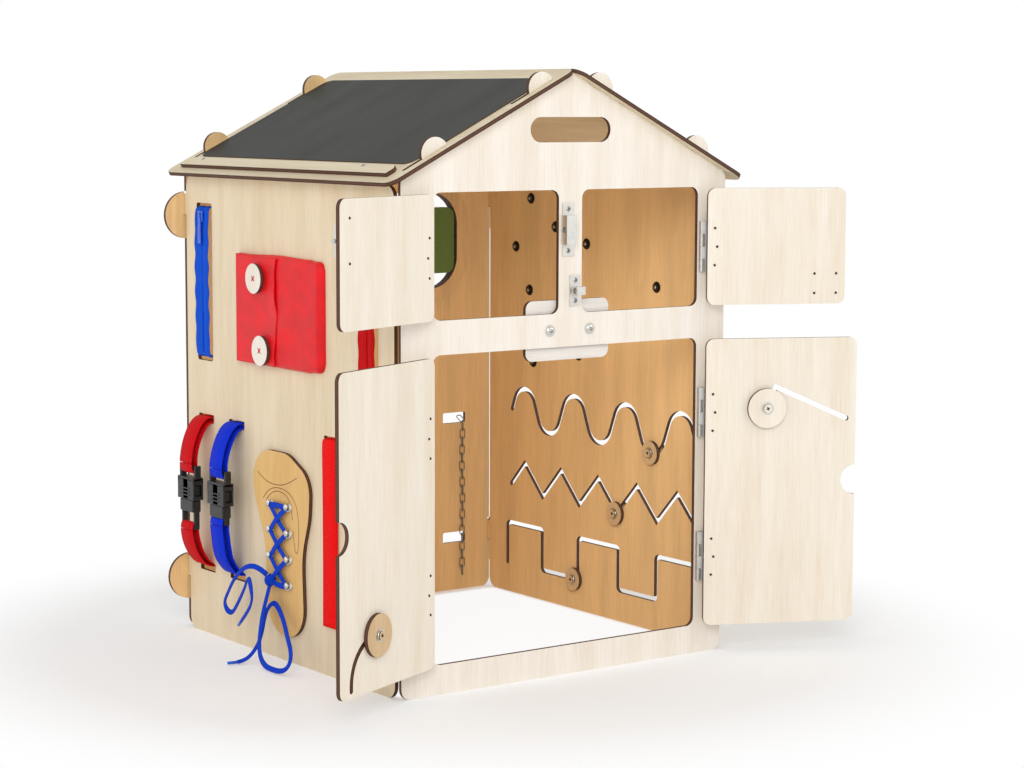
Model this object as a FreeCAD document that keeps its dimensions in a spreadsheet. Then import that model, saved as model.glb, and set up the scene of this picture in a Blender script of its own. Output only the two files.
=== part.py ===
import FreeCAD, Part
import math
import os

from FreeCAD import Placement, Rotation, Vector

# Busy house of laser-cut plywood, in millimetres.
# x runs across the front from its middle, y runs back from the front panel's mid-thickness,
# z runs up from the floor.

os.makedirs("parts", exist_ok=True)
doc = FreeCAD.newDocument("busy_house")
sheet = doc.addObject("Spreadsheet::Sheet", "Sizes")

SIZES = [
    ("ply", 4, "plywood thickness"),
    ("cut_play", 0.4, "extra width of a slot over the ply that sits in it"),
    ("house_width", 390, "front panel, edge to edge"),
    ("house_depth", 408, "front panel mid-plane to back panel mid-plane"),
    ("roof_pitch", 26.5, "slope of the gable in degrees"),
    ("panel_corner", 10, "rounding of the gable panels"),
    ("ridge_corner", 8, "rounding of the gable's peak"),
    ("side_height", 480, "side wall height"),
    ("eave_rise", 7.3, "corner of the gable above the side walls"),
    ("side_corner", 12.5, "rounding of the side walls"),
    ("corner_gap", 4, "gap between a side wall and a gable panel"),
    ("disc_radius", 24.5, "corner disc"),
    ("disc_low", 54.7, "lower corner disc height"),
    ("disc_drop", 42, "upper corner disc below the side walls' top"),
    ("ear_rise", 22, "top of an ear above the disc centre"),
    ("ear_drop", 14, "reach of an ear's hook below the disc centre"),
    ("ear_thick", 7.5, "thickness of an ear's hook"),
    ("ear_play", 0.5, "play between ear and disc"),
    ("opening_margin", 35.6, "panel edge to an opening"),
    ("opening_corner", 8.5, "rounding of the openings"),
    ("window_bottom", 354.4, "upper windows, lower edge"),
    ("window_drop", 14.2, "upper windows below the gable's corner"),
    ("post_width", 27.8, "post between the upper windows"),
    ("doorway_bottom", 28.6, "doorway, lower edge"),
    ("doorway_top", 322.2, "doorway, upper edge"),
    ("grip_rise", 43, "handle slot above the gable's corner"),
    ("grip_length", 96, "handle slot length"),
    ("grip_width", 24, "handle slot width"),
    ("roof_overhang", 10, "roof beyond the gable panels"),
    ("eave_overhang", 18, "roof beyond the eave corner, along the slope"),
    ("roof_corner", 12, "rounding of the roof panels"),
    ("ridge_gap", 0.2, "roof panel short of the gable's peak, along the slope"),
    ("roof_disc_radius", 15.5, "hook disc on the gable"),
    ("roof_disc_low", 44, "lower hook disc, along the slope"),
    ("roof_disc_high", 180, "upper hook disc, along the slope"),
    ("roof_slot_length", 38.3, "slot in the roof panel for a hook disc"),
    ("board_thick", 1, "chalkboard thickness"),
    ("board_low", 18, "chalkboard lower edge, along the slope"),
    ("board_length", 178, "chalkboard along the slope"),
    ("board_width", 399, "chalkboard across"),
    ("ledge_low", -7, "chalk ledge lower edge, along the slope"),
    ("ledge_width", 16, "chalk ledge along the slope"),
    ("ledge_length", 392, "chalk ledge across"),
    ("door_gap", 1, "gap round a door"),
    ("door_corner", 8, "rounding of the doors"),
    ("notch_radius", 15, "finger notch in the lower doors"),
    ("pin_offset", 3.5, "hinge pin outside the opening's edge"),
    ("pin_forward", 2.5, "hinge pin in front of the panel face"),
    ("pin_radius", 1, "hinge pin"),
    ("pin_play", 0.05, "running play round pins and axles"),
    ("knuckle_radius", 2.4, "hinge knuckle"),
    ("knuckle_length", 12.5, "hinge knuckle along the pin"),
    ("knuckle_play", 0.2, "gap between two knuckles"),
    ("leaf_width", 16, "hinge leaf"),
    ("leaf_thick", 1, "hinge leaf thickness"),
    ("hinge_drop", 75.2, "upper hinge of a lower door below the doorway's top"),
    ("hinge_rise", 71.4, "lower hinge of a lower door above the doorway's bottom"),
    ("open_upper_left", 159, "door angle in degrees"),
    ("open_upper_right", 155, "door angle in degrees"),
    ("open_lower_left", 156, "door angle in degrees"),
    ("open_lower_right", 155, "door angle in degrees"),
    ("stop_width", 100, "door stop plate"),
    ("stop_height", 58, "door stop plate"),
    ("stop_bolt_offset", 24, "stop plate bolts from the middle"),
    ("plate_thick", 1.2, "latch and keeper plates"),
    ("rod_radius", 2, "latch rods"),
    ("rod_height", 5, "latch rods in front of the door"),
    ("bolt_rise", 21.7, "barrel bolt above the upper windows' lower edge"),
    ("bolt_inset", 20.5, "barrel bolt plate's middle from the door's edge"),
    ("latch_drop", 38.1, "slide latch below the upper windows' top"),
    ("latch_inset", 14.5, "slide latch plate's middle from the door's edge"),
    ("latch_width", 13, "slide latch plate"),
    ("latch_length", 52, "slide latch plate"),
    ("latch_block_length", 28, "slide latch block"),
    ("latch_depth", 8.2, "slide latch block in front of the door"),
    ("finger_pin_reach", 17, "slide latch finger pin in front of the door"),
    ("finger_pin_radius", 1.5, "slide latch finger pin"),
    ("bolt_plate_width", 32, "barrel bolt plate"),
    ("bolt_plate_height", 28, "barrel bolt plate"),
    ("barrel_radius", 4, "barrel bolt tube"),
    ("barrel_length", 18, "barrel bolt tube"),
    ("bolt_knob_radius", 3, "barrel bolt knob"),
    ("bolt_knob_reach", 8, "barrel bolt knob in front of the rod"),
    ("keeper_depth", 9, "keepers in front of the post"),
    ("keeper_play", 1, "keeper bore round the rod"),
    ("knob_radius", 20, "door knobs"),
    ("knob_bolt_radius", 2.2, "bolt through a knob"),
    ("knob_play", 0.3, "knob disc to the ply"),
    ("knob_screw_reach", 2.5, "bolt head and nut beyond the knob discs"),
    ("track_width", 5.4, "slots that knobs run in"),
    ("bend_knob_run", 9.9, "lower right knob from the start of its slot"),
    ("arc_inset", 57.9, "arc slot's centre from the door's meeting edge"),
    ("bend_inset", 10.3, "bent slot's end from the door's meeting edge"),
    ("arc_centre_z", 40, "arc slot centre above the floor"),
    ("arc_radius", 40, "arc slot radius"),
    ("maze_knob_radius", 12.5, "maze knobs"),
    ("sine_top", 236.3, "sine slot crests"),
    ("sine_bottom", 190.2, "sine slot troughs"),
    ("sine_back", 43.95, "sine slot's end from the wall's back edge"),
    ("sine_first", 61, "first crest from the front"),
    ("sine_roundness", 0.219, "sine slot arcs, to its pitch"),
    ("zigzag_top", 151.5, "zigzag slot peaks"),
    ("zigzag_bottom", 117.5, "zigzag slot valleys"),
    ("zigzag_back", 42.9, "zigzag slot's end from the wall's back edge"),
    ("zigzag_first", 65.4, "first peak from the front"),
    ("square_top", 80, "square slot upper runs"),
    ("square_bottom", 34, "square slot lower runs"),
    ("square_bend", 4, "square slot corner"),
    ("square_first", 41.5, "square slot's start from the front"),
    ("square_back", 36, "square slot's end from the wall's back edge"),
    ("window_centre_x", 91, "back window, middle"),
    ("back_window_drop", 85.3, "back window's middle below the gable's corner"),
    ("back_window_width", 111.4, "back window"),
    ("back_window_height", 108, "back window"),
    ("back_window_corner", 36, "back window rounding"),
    ("ring_width", 14.5, "window ring"),
    ("spin_side_gap", 2.7, "turning panel inside the back window, each side"),
    ("spin_end_gap", 17, "turning panel inside the back window, above and below"),
    ("spin_thick", 8, "turning panel"),
    ("spin_corner", 10, "turning panel rounding"),
    ("axle_reach", 8, "axle end beyond the window's edge"),
    ("chain_slot_x", 145.7, "back slots, middle"),
    ("chain_slot_length", 30.6, "back slots"),
    ("chain_slot_width", 12, "back slots"),
    ("chain_slot_high", 199, "upper back slot above the floor"),
    ("chain_slot_low", 61, "lower back slot above the floor"),
    ("chain_x", 155, "pull chain"),
    ("chain_length", 182, "pull chain, hanging length"),
    ("chain_radius", 2, "pull chain, outer size"),
    ("zip_slot_width", 32, "zip slots"),
    ("zip_slot_bottom", 288.5, "zip slots, lower end"),
    ("zip_slot_drop", 28, "zip slots below the side walls' top"),
    ("blue_zip_inset", 44, "blue zip's middle from the back panel"),
    ("red_zip_y", 49, "red zip, middle"),
    ("tape_width", 28, "zip tape"),
    ("tape_thick", 1.2, "zip tape"),
    ("tape_bow", 2.5, "zip tape in front of the wall"),
    ("wallet_near", 125, "wallet edge nearer the front"),
    ("wallet_inset", 117, "wallet's back edge from the back panel"),
    ("wallet_bottom", 294, "wallet, lower edge"),
    ("wallet_top", 405.5, "wallet, upper edge"),
    ("wallet_thick", 7, "wallet pocket"),
    ("flap_width", 82, "wallet flap, to its free edge"),
    ("flap_margin", 3, "wallet flap short of the pocket's back edge"),
    ("flap_thick", 1.6, "wallet flap"),
    ("button_radius", 15, "wallet buttons"),
    ("button_thick", 3.5, "wallet buttons"),
    ("strap_slot_width", 31.5, "strap slots"),
    ("strap_slot_height", 9, "strap slots"),
    ("strap_high", 228, "upper strap slots above the floor"),
    ("strap_low", 71, "lower strap slots above the floor"),
    ("red_strap_inset", 44.7, "red strap's middle from the back panel"),
    ("blue_strap_inset", 108, "blue strap's middle from the back panel"),
    ("strap_width", 25, "webbing"),
    ("strap_thick", 4, "doubled webbing"),
    ("buckle_out", 20, "buckle's middle in front of the wall"),
    ("buckle_width", 34, "buckle"),
    ("buckle_thick", 12, "buckle"),
    ("buckle_wall", 2, "buckle socket wall"),
    ("socket_length", 36, "buckle socket"),
    ("prong_length", 22, "buckle plug inside the socket"),
    ("red_buckle_top", 181, "red buckle, upper end"),
    ("red_plug_length", 31, "red buckle plug outside the socket"),
    ("blue_buckle_top", 183, "blue buckle, upper end"),
    ("blue_plug_length", 20, "blue buckle plug outside the socket"),
    ("velcro_y", 116.5, "hook-and-loop strap, middle"),
    ("velcro_thick", 1.6, "hook-and-loop strap"),
    ("velcro_bottom", 49, "hook-and-loop strap, lower end"),
    ("shoe_shift", 2, "shoe's middle behind the wall's middle"),
    ("hook_far", 18, "lacing hooks behind the shoe's middle"),
    ("hook_near", 17, "lacing hooks in front of the shoe's middle"),
    ("hook_base_radius", 4.5, "lacing hook's foot"),
    ("hook_stem_radius", 1.6, "lacing hook's stem"),
    ("hook_head_radius", 3.6, "lacing hook's head"),
    ("hook_plate", 1.2, "lacing hook's foot and head thickness"),
    ("hook_top", 157, "upper lacing hooks"),
    ("hook_pitch", 26.3, "lacing hooks, height step"),
    ("hook_reach", 6, "lacing hooks in front of the shoe"),
    ("lace_width", 6, "lace between the hooks"),
    ("lace_thick", 2, "lace between the hooks"),
    ("lace_radius", 1.2, "lace strands"),
    ("lace_gap", 1.6, "lacing in front of the shoe"),
    ("knot_radius", 6.5, "lace knot"),
    ("aglet_radius", 1.5, "lace tips"),
    ("wall_bolt_radius", 2, "wall bolts"),
    ("nut_radius", 4.2, "nuts and bolt heads"),
    ("nut_thick", 3, "nuts and bolt heads"),
    ("gear_module", 3, "gears"),
    ("gear_play", 0.3, "gears and wheels to wall and bolt head"),
    ("gear_inset", 186, "front gear from the back panel"),
    ("gear_drop", 75.5, "front gear below the side walls' top"),
    ("wheel_hole_radius", 3.5, "finger wheel holes"),
    ("wheel_radius", 22, "finger wheel"),
]

for row, (name, value, note) in enumerate(SIZES, 1):
    sheet.set(f"A{row}", name)
    sheet.set(f"B{row}", str(value))
    sheet.set(f"C{row}", note)
    sheet.setAlias(f"B{row}", name)
doc.recompute()


class Sizes:
    """Reads a size from the spreadsheet by its alias."""

    def __getattr__(self, name):
        return float(sheet.get(name))


size = Sizes()
nodes = []

# Outlines


def unit(start, end):
    length = math.hypot(end[0] - start[0], end[1] - start[1])
    return (end[0] - start[0]) / length, (end[1] - start[1]) / length


def loop(corners):
    """Closed outline through (u, v, corner radius) points, its corners rounded by tangent arcs."""
    curves = []
    joins = []
    count = len(corners)
    for index, (u, v, radius) in enumerate(corners):
        before = unit(corners[index - 1], (u, v))
        after = unit((u, v), corners[(index + 1) % count])
        cross = before[0] * after[1] - before[1] * after[0]
        turn = math.atan2(cross, before[0] * after[0] + before[1] * after[1])
        reach = radius * math.tan(abs(turn) / 2)
        start = (u - before[0] * reach, v - before[1] * reach)
        end = (u + after[0] * reach, v + after[1] * reach)
        joins.append((start, end))
        if reach < 1e-6:
            continue
        side = math.copysign(1, turn)
        centre = (start[0] - before[1] * radius * side, start[1] + before[0] * radius * side)
        first, last = (start, end) if side > 0 else (end, start)
        angles = [math.atan2(point[1] - centre[1], point[0] - centre[0]) for point in (first, last)]
        circle = Part.Circle(Vector(centre[0], centre[1], 0), Vector(0, 0, 1), radius)
        curves.append(Part.ArcOfCircle(circle, angles[0], angles[1]))
    for index in range(count):
        start = joins[index - 1][1]
        end = joins[index][0]
        if math.dist(start, end) > 1e-6:
            curves.append(Part.LineSegment(Vector(start[0], start[1], 0), Vector(end[0], end[1], 0)))
    return curves


def box_loop(low_u, high_u, low_v, high_v, radius=0):
    return loop([(low_u, low_v, radius), (high_u, low_v, radius), (high_u, high_v, radius), (low_u, high_v, radius)])


def ring(u, v, radius):
    return [Part.Circle(Vector(u, v, 0), Vector(0, 0, 1), radius)]


def band(points, width, round_ends=True):
    """Outline of a band of this width along a bent centre line of (u, v, bend radius) points."""
    half = width / 2
    left = []
    right = []
    count = len(points)
    for index, (u, v, bend) in enumerate(points):
        before = unit(points[index - 1], (u, v)) if index > 0 else None
        after = unit((u, v), points[index + 1]) if index < count - 1 else None
        if before and after:
            turn = before[0] * after[1] - before[1] * after[0]
            scale = half / (1 + before[0] * after[0] + before[1] * after[1])
            shift = (-(before[1] + after[1]) * scale, (before[0] + after[0]) * scale)
            inner = max(bend - half, 0)
            outer = bend + half if bend else 0
            left.append((u + shift[0], v + shift[1], inner if turn > 0 else outer))
            right.append((u - shift[0], v - shift[1], outer if turn > 0 else inner))
        else:
            along = after or before
            out = half if round_ends else 0
            push = -out if after else out
            end = (u + along[0] * push, v + along[1] * push)
            corner = half if round_ends else 0
            left.append((end[0] - along[1] * half, end[1] + along[0] * half, corner))
            right.append((end[0] + along[1] * half, end[1] - along[0] * half, corner))
    return loop(right + left[::-1])


# Ways to make a piece


def sketch_on(body, name, outlines, height=0):
    plane = [item for item in body.Origin.OriginFeatures if item.Role == "XY_Plane"][0]
    sketch = body.newObject("Sketcher::SketchObject", name)
    sketch.AttachmentSupport = [(plane, "")]
    sketch.MapMode = "FlatFace"
    sketch.AttachmentOffset = Placement(Vector(0, 0, height), Rotation())
    for outline in outlines:
        sketch.addGeometry(outline, False)
    return sketch


def pad(body, name, outlines, thickness, height=0):
    feature = body.newObject("PartDesign::Pad", name)
    feature.Profile = sketch_on(body, name + "_sketch", outlines, height)
    feature.setExpression("Length", thickness)
    return feature


def plate(label, outlines, thickness, placement, more=(), cuts=()):
    """A flat piece: one outline with its holes, further outlines joined to it, then cuts right through."""
    body = doc.addObject("PartDesign::Body", label)
    pad(body, label + "_pad", outlines, thickness)
    if more:
        for index, outline in enumerate(more):
            pad(body, f"{label}_join_{index}", [outline], thickness)
    if cuts:
        doc.recompute()
        volume = body.Shape.Volume
        pocket = body.newObject("PartDesign::Pocket", label + "_pocket")
        pocket.Profile = sketch_on(body, label + "_cuts", cuts)
        pocket.Type = "ThroughAll"
        pocket.Reversed = True
        doc.recompute()
        if body.Shape.Volume > volume - 1:
            raise ValueError(label + ": its cuts remove nothing")
    body.Placement = placement
    nodes.append(body)
    return body


def piece(label, solids, placement=Placement()):
    """A piece, or a group of like pieces, from solids that are made in place."""
    feature = doc.addObject("Part::Feature", label)
    feature.Shape = solids[0] if len(solids) == 1 else Part.makeCompound(solids)
    feature.Placement = placement
    nodes.append(feature)
    return feature


def prism(outline, thickness, placement=Placement()):
    edges = Part.sortEdges([curve.toShape() for curve in outline])[0]
    solid = Part.Face(Part.Wire(edges)).extrude(Vector(0, 0, thickness))
    solid.Placement = placement
    return solid


def block(low, high):
    return Part.makeBox(high[0] - low[0], high[1] - low[1], high[2] - low[2], Vector(*low))


def rod(start, end, radius):
    start = Vector(*start)
    along = Vector(*end) - start
    return Part.makeCylinder(radius, along.Length, start, along)


def joined(solids):
    return solids[0].multiFuse(solids[1:]).removeSplitter()


# A front view is drawn with x as u and z as v, and padded towards the front
def front_view(rear_y):
    return Placement(Vector(0, rear_y, 0), Rotation(Vector(1, 0, 0), 90))


# A side view is drawn with y as u and z as v, and padded towards +x
def side_view(low_x):
    return Placement(Vector(low_x, 0, 0), Rotation(Vector(1, 1, 1), 120))


half_ply = size.ply / 2
half_width = size.house_width / 2
front_face = -half_ply
wall_face = -half_width - half_ply
slot_width = size.ply + size.cut_play
eave_height = size.side_height + size.eave_rise
window_top = eave_height - size.window_drop
disc_heights = (size.disc_low, size.side_height - size.disc_drop)
pitch = math.radians(size.roof_pitch)
ridge_height = eave_height + half_width * math.tan(pitch)
slope_length = half_width / math.cos(pitch)

# Front and back panels


def on_slope(along, above, side=1):
    """A point along the gable's slope and above it, on the left (1) or the right (-1)."""
    x = -half_width + along * math.cos(pitch) - above * math.sin(pitch)
    return x * side, eave_height + along * math.sin(pitch) + above * math.cos(pitch)


def slope_box(low, high, under, over, side):
    corners = ((low, under), (high, under), (high, over), (low, over))
    return loop([(*on_slope(along, above, side), 0) for along, above in corners])


def gable_panel(label, rear_y, openings):
    outline = loop([
        (-half_width, 0, size.panel_corner),
        (half_width, 0, size.panel_corner),
        (half_width, eave_height, size.panel_corner),
        (0, ridge_height, size.ridge_corner),
        (-half_width, eave_height, size.panel_corner),
    ])
    discs = []
    cuts = []
    for side in (1, -1):
        for height in disc_heights:
            discs.append(ring(-half_width * side, height, size.disc_radius))
            slot_low = -half_width * side - slot_width / 2
            cuts.append(box_loop(slot_low, slot_low + slot_width, height, height + size.disc_radius + 0.5))
        for along in (size.roof_disc_low, size.roof_disc_high):
            discs.append(ring(*on_slope(along, half_ply, side), size.roof_disc_radius))
            reach = size.roof_disc_radius + 1
            play = size.cut_play / 2
            cuts.append(slope_box(along, along + reach, -play, size.ply + play, side))
    return plate(label, [outline] + openings, "Sizes.ply", front_view(rear_y), discs, cuts)


opening_edge = half_width - size.opening_margin
half_post = size.post_width / 2
grip_run = (size.grip_length - size.grip_width) / 2
grip_height = eave_height + size.grip_rise
front_openings = [
    box_loop(-opening_edge, -half_post, size.window_bottom, window_top, size.opening_corner),
    box_loop(half_post, opening_edge, size.window_bottom, window_top, size.opening_corner),
    box_loop(-opening_edge, opening_edge, size.doorway_bottom, size.doorway_top, size.opening_corner),
    band([(-grip_run, grip_height, 0), (grip_run, grip_height, 0)], size.grip_width),
]
stop_bolt_z = (size.window_bottom + size.doorway_top) / 2
bolt_hole = size.wall_bolt_radius + 0.1
for side in (1, -1):
    front_openings.append(ring(side * size.stop_bolt_offset, stop_bolt_z, bolt_hole))
gable_panel("front_panel", half_ply, front_openings)

window_centre_z = eave_height - size.back_window_drop


def window_outline(grow):
    half_w = size.back_window_width / 2 + grow
    half_h = size.back_window_height / 2 + grow
    x = size.window_centre_x
    z = window_centre_z
    return box_loop(x - half_w, x + half_w, z - half_h, z + half_h, size.back_window_corner + grow)


back_openings = [window_outline(0)]
for height in (size.chain_slot_high, size.chain_slot_low):
    slot_low = size.chain_slot_x - size.chain_slot_length / 2
    half_slot = size.chain_slot_width / 2
    back_openings.append(box_loop(slot_low, slot_low + size.chain_slot_length, height - half_slot, height + half_slot, 2))
back_panel = gable_panel("back_panel", size.house_depth + half_ply, back_openings)

# Side walls

wall_front = half_ply + size.corner_gap
wall_back = size.house_depth - half_ply - size.corner_gap
ear_face = half_ply + size.ear_play
ear_tip = ear_face + size.ear_thick


def side_outline():
    corner = size.side_corner
    bottom = [(wall_front, 0, corner), (wall_back, 0, corner)]
    back = []
    front = []
    for height in disc_heights:
        low = height + size.ear_play
        hook = height - size.ear_drop
        top = height + size.ear_rise
        steps = [(0, low, 1), (1, low, 1), (1, hook, 3), (2, hook, 3), (2, top, 3), (0, top, 1)]
        back_y = (wall_back, size.house_depth + ear_face, size.house_depth + ear_tip)
        front_y = (wall_front, -ear_face, -ear_tip)
        back += [(back_y[index], z, radius) for index, z, radius in steps]
        front += [(front_y[index], z, radius) for index, z, radius in steps]
    top = [(wall_back, size.side_height, corner), (wall_front, size.side_height, corner)]
    return loop(bottom + back + top + front[::-1])


zip_slot_top = size.side_height - size.zip_slot_drop
blue_zip_y = size.house_depth - size.blue_zip_inset
red_strap_y = size.house_depth - size.red_strap_inset
blue_strap_y = size.house_depth - size.blue_strap_inset
zip_slots = [box_loop(middle - size.zip_slot_width / 2, middle + size.zip_slot_width / 2,
                      size.zip_slot_bottom, zip_slot_top, 3) for middle in (blue_zip_y, size.red_zip_y)]
strap_slots = [box_loop(middle - size.strap_slot_width / 2, middle + size.strap_slot_width / 2,
                        height - size.strap_slot_height / 2, height + size.strap_slot_height / 2, 1.5)
               for middle in (red_strap_y, blue_strap_y) for height in (size.strap_high, size.strap_low)]
velcro_slot = box_loop(size.velcro_y - size.strap_width / 2 - 1, size.velcro_y + size.strap_width / 2 + 1,
                       size.strap_high + 0.5, size.strap_high + 8, 1.5)
plate("left_panel", [side_outline()] + zip_slots + strap_slots + [velcro_slot], "Sizes.ply", side_view(wall_face))

# Maze slots of the right wall

SINE_PITCHES = 3.25
sine_pitch = (wall_back - size.sine_back - size.sine_first) / SINE_PITCHES
sine_bend = size.sine_roundness * sine_pitch
half_pitch = sine_pitch / 2
rise = size.sine_top - size.sine_bottom - 2 * sine_bend
spacing = math.hypot(half_pitch, rise)
sine_slope = math.atan2(rise, half_pitch) + math.asin(2 * sine_bend / spacing)
sine_corner = sine_bend * (1 / math.cos(sine_slope) - 1)
sine_points = []
for step in range(8):
    crest = step % 2 == 0
    height = size.sine_top + sine_corner if crest else size.sine_bottom - sine_corner
    sine_points.append((size.sine_first + step * half_pitch, height, sine_bend))
sine_start = (size.sine_first - half_pitch / 2, (size.sine_top + size.sine_bottom) / 2, 0)
sine_end = (size.sine_first + 6.5 * half_pitch, (size.sine_top + size.sine_bottom) / 2 - 2, 0)
sine_track = band([sine_start] + sine_points[:7] + [sine_end], size.track_width)

ZIGZAG_PITCHES = 4.38
zigzag_pitch = (wall_back - size.zigzag_back - size.zigzag_first) / ZIGZAG_PITCHES
zigzag_points = []
for step in range(9):
    height = size.zigzag_top if step % 2 == 0 else size.zigzag_bottom
    zigzag_points.append((size.zigzag_first + step * zigzag_pitch / 2, height, 0))
zigzag_start = (size.zigzag_first - 0.4 * zigzag_pitch, size.zigzag_bottom + 7, 0)
zigzag_end = (zigzag_points[-1][0] + 0.38 * zigzag_pitch, size.zigzag_bottom + 8, 0)
zigzag_track = band([zigzag_start] + zigzag_points + [zigzag_end], size.track_width)

SQUARE_RUNS = [57.5, 64, 71, 66, 66]
square_stretch = (wall_back - size.square_back - size.square_first) / sum(SQUARE_RUNS)
y = size.square_first
levels = [size.square_top, size.square_bottom]
square_points = [(y, levels[0], 0)]
for run in SQUARE_RUNS:
    y += run * square_stretch
    square_points += [(y, levels[0], size.square_bend), (y, levels[1], size.square_bend)]
    levels.reverse()
square_points[-1] = (y, levels[0], 0)
square_track = band(square_points, size.track_width)

# Bolts of the right wall: five carry the gears, one a finger wheel, and two stand alone

gear_teeth = {"gear_low": 13, "gear_large": 23, "gear_top": 18, "gear_middle": 18, "gear_front": 21}


def pitch_radius(name):
    return size.gear_module * gear_teeth[name] / 2


def mesh_point(origin, first, second, degrees):
    distance = pitch_radius(first) + pitch_radius(second)
    angle = math.radians(degrees)
    return origin[0] + distance * math.cos(angle), origin[1] + distance * math.sin(angle)


gear_chain = [("gear_front", "gear_middle", 16), ("gear_middle", "gear_top", 33.5),
              ("gear_top", "gear_large", -62.8), ("gear_large", "gear_low", -118.4)]
gear_place = {"gear_front": (size.house_depth - size.gear_inset, size.side_height - size.gear_drop)}
gear_turn = {"gear_front": 0.0}
for first, second, degrees in gear_chain:
    gear_place[second] = mesh_point(gear_place[first], first, second, degrees)
    step_first = 360 / gear_teeth[first]
    step_second = 360 / gear_teeth[second]
    phase = (degrees - gear_turn[first]) / step_first
    gear_turn[second] = degrees + 180 + (phase % 1 + 0.5) * step_second
wheel_place = (102, 365)
turning_places = list(gear_place.values()) + [wheel_place]
plain_bolt_places = [(size.house_depth - 90, 268), (size.house_depth - 173, 282.5)]
wall_bolt_places = turning_places + plain_bolt_places
bolt_holes = [ring(y, z, bolt_hole) for y, z in wall_bolt_places]
right_inner = half_width - half_ply
tracks = [sine_track, zigzag_track, square_track]
plate("right_panel", [side_outline()] + tracks + bolt_holes, "Sizes.ply", side_view(right_inner))

# Roof panels, their chalkboard and ledge

roof_front = half_ply + size.roof_overhang
roof_back = size.house_depth + roof_front
top_end = slope_length - size.ridge_gap


def roof_outline():
    corner = size.roof_corner
    outline = loop([(-size.eave_overhang, -roof_front, corner), (top_end, -roof_front, corner),
                    (top_end, roof_back, corner), (-size.eave_overhang, roof_back, corner)])
    slots = []
    for along in (size.roof_disc_low, size.roof_disc_high):
        high = along + size.cut_play
        for plane in (0, size.house_depth):
            slots.append(box_loop(high - size.roof_slot_length, high, plane - slot_width / 2, plane + slot_width / 2, 1))
    return [outline] + slots


left_slope = Placement(Vector(-half_width, 0, eave_height), Rotation(Vector(0, 1, 0), -size.roof_pitch))
right_slope = Placement(Vector(half_width, size.house_depth, eave_height),
                        Rotation(Vector(0, 0, 1), 180) * Rotation(Vector(0, 1, 0), -size.roof_pitch))


def above_slope(height):
    return left_slope * Placement(Vector(0, 0, height), Rotation())


plate("roof_left", roof_outline(), "Sizes.ply", left_slope)
plate("roof_right", roof_outline(), "Sizes.ply", right_slope)
house_middle = size.house_depth / 2
half_board = size.board_width / 2
plate("chalkboard", [box_loop(size.board_low, size.board_low + size.board_length, house_middle - half_board,
                              house_middle + half_board, size.roof_corner)], "Sizes.board_thick", above_slope(size.ply))
half_ledge = size.ledge_length / 2
chamfer = 6
ledge_high = size.ledge_low + size.ledge_width
ledge_near = house_middle - half_ledge
ledge_far = house_middle + half_ledge
ledge_outline = loop([
    (size.ledge_low, ledge_near, 0),
    (ledge_high - chamfer, ledge_near, 0),
    (ledge_high, ledge_near + chamfer, 0),
    (ledge_high, ledge_far - chamfer, 0),
    (ledge_high - chamfer, ledge_far, 0),
    (size.ledge_low, ledge_far, 0),
])
plate("chalk_ledge", [ledge_outline], "Sizes.ply", above_slope(size.ply))

# Door stop behind the cross rail

half_stop = size.stop_width / 2
stop_holes = [ring(side * size.stop_bolt_offset, stop_bolt_z, bolt_hole) for side in (1, -1)]
stop_low = stop_bolt_z - size.stop_height / 2
stop_outline = box_loop(-half_stop, half_stop, stop_low, stop_low + size.stop_height, size.door_corner)
plate("door_stop_plate", [stop_outline] + stop_holes, "Sizes.ply", front_view(half_ply + size.ply))

# Doors, shut in their openings and then swung about their pins

pin_x = opening_edge + size.pin_offset
pin_y = front_face - size.pin_forward
door_edge = opening_edge - size.door_gap


def swing(side, degrees):
    """The turn of a door about its pin, on the left (1) or the right (-1)."""
    pin = Vector(-pin_x * side, pin_y, 0)
    return Placement(pin, Rotation(Vector(0, 0, 1), -degrees * side)) * Placement(-pin, Rotation())


swings = {
    "upper_left": swing(1, size.open_upper_left),
    "upper_right": swing(-1, size.open_upper_right),
    "lower_left": swing(1, size.open_lower_left),
    "lower_right": swing(-1, size.open_lower_right),
}


def door(name, side, middle_edge, low, high, slots, notch):
    low_x, high_x = sorted((-door_edge * side, -middle_edge * side))
    outline = box_loop(low_x, high_x, low + size.door_gap, high - size.door_gap, size.door_corner)
    cuts = [ring(-middle_edge * side, (low + high) / 2, size.notch_radius)] if notch else []
    return plate("door_" + name, [outline] + slots, "Sizes.ply", swings[name] * front_view(half_ply), (), cuts)


upper_edge = half_post + size.door_gap
lower_edge = size.door_gap / 2
bend_start = (door_edge - 59, size.doorway_top - 80.6)
bend_corner = (door_edge - 73.5, size.doorway_top - 50.4)
bend_end = (lower_edge + size.bend_inset, size.doorway_top - 83.6)
bend_slot = band([(*bend_start, 0), (*bend_corner, 0), (*bend_end, 0)], size.track_width)
arc_x = -lower_edge - size.arc_inset
arc_top = size.arc_centre_z + size.arc_radius
arc_slot = band([(arc_x, arc_top, 0), (arc_x + size.arc_radius, arc_top, size.arc_radius),
                 (arc_x + size.arc_radius, size.arc_centre_z - 3.5, 0)], size.track_width)
door("upper_left", 1, upper_edge, size.window_bottom, window_top, [], False)
door("upper_right", -1, upper_edge, size.window_bottom, window_top, [], False)
door("lower_left", 1, lower_edge, size.doorway_bottom, size.doorway_top, [arc_slot], True)
door("lower_right", -1, lower_edge, size.doorway_bottom, size.doorway_top, [bend_slot], True)

# Hinges: four knuckles each, the first and third on the panel's leaf with the pin

hinge_length = 4 * size.knuckle_length
leaf_start = size.knuckle_radius + 0.6


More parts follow.
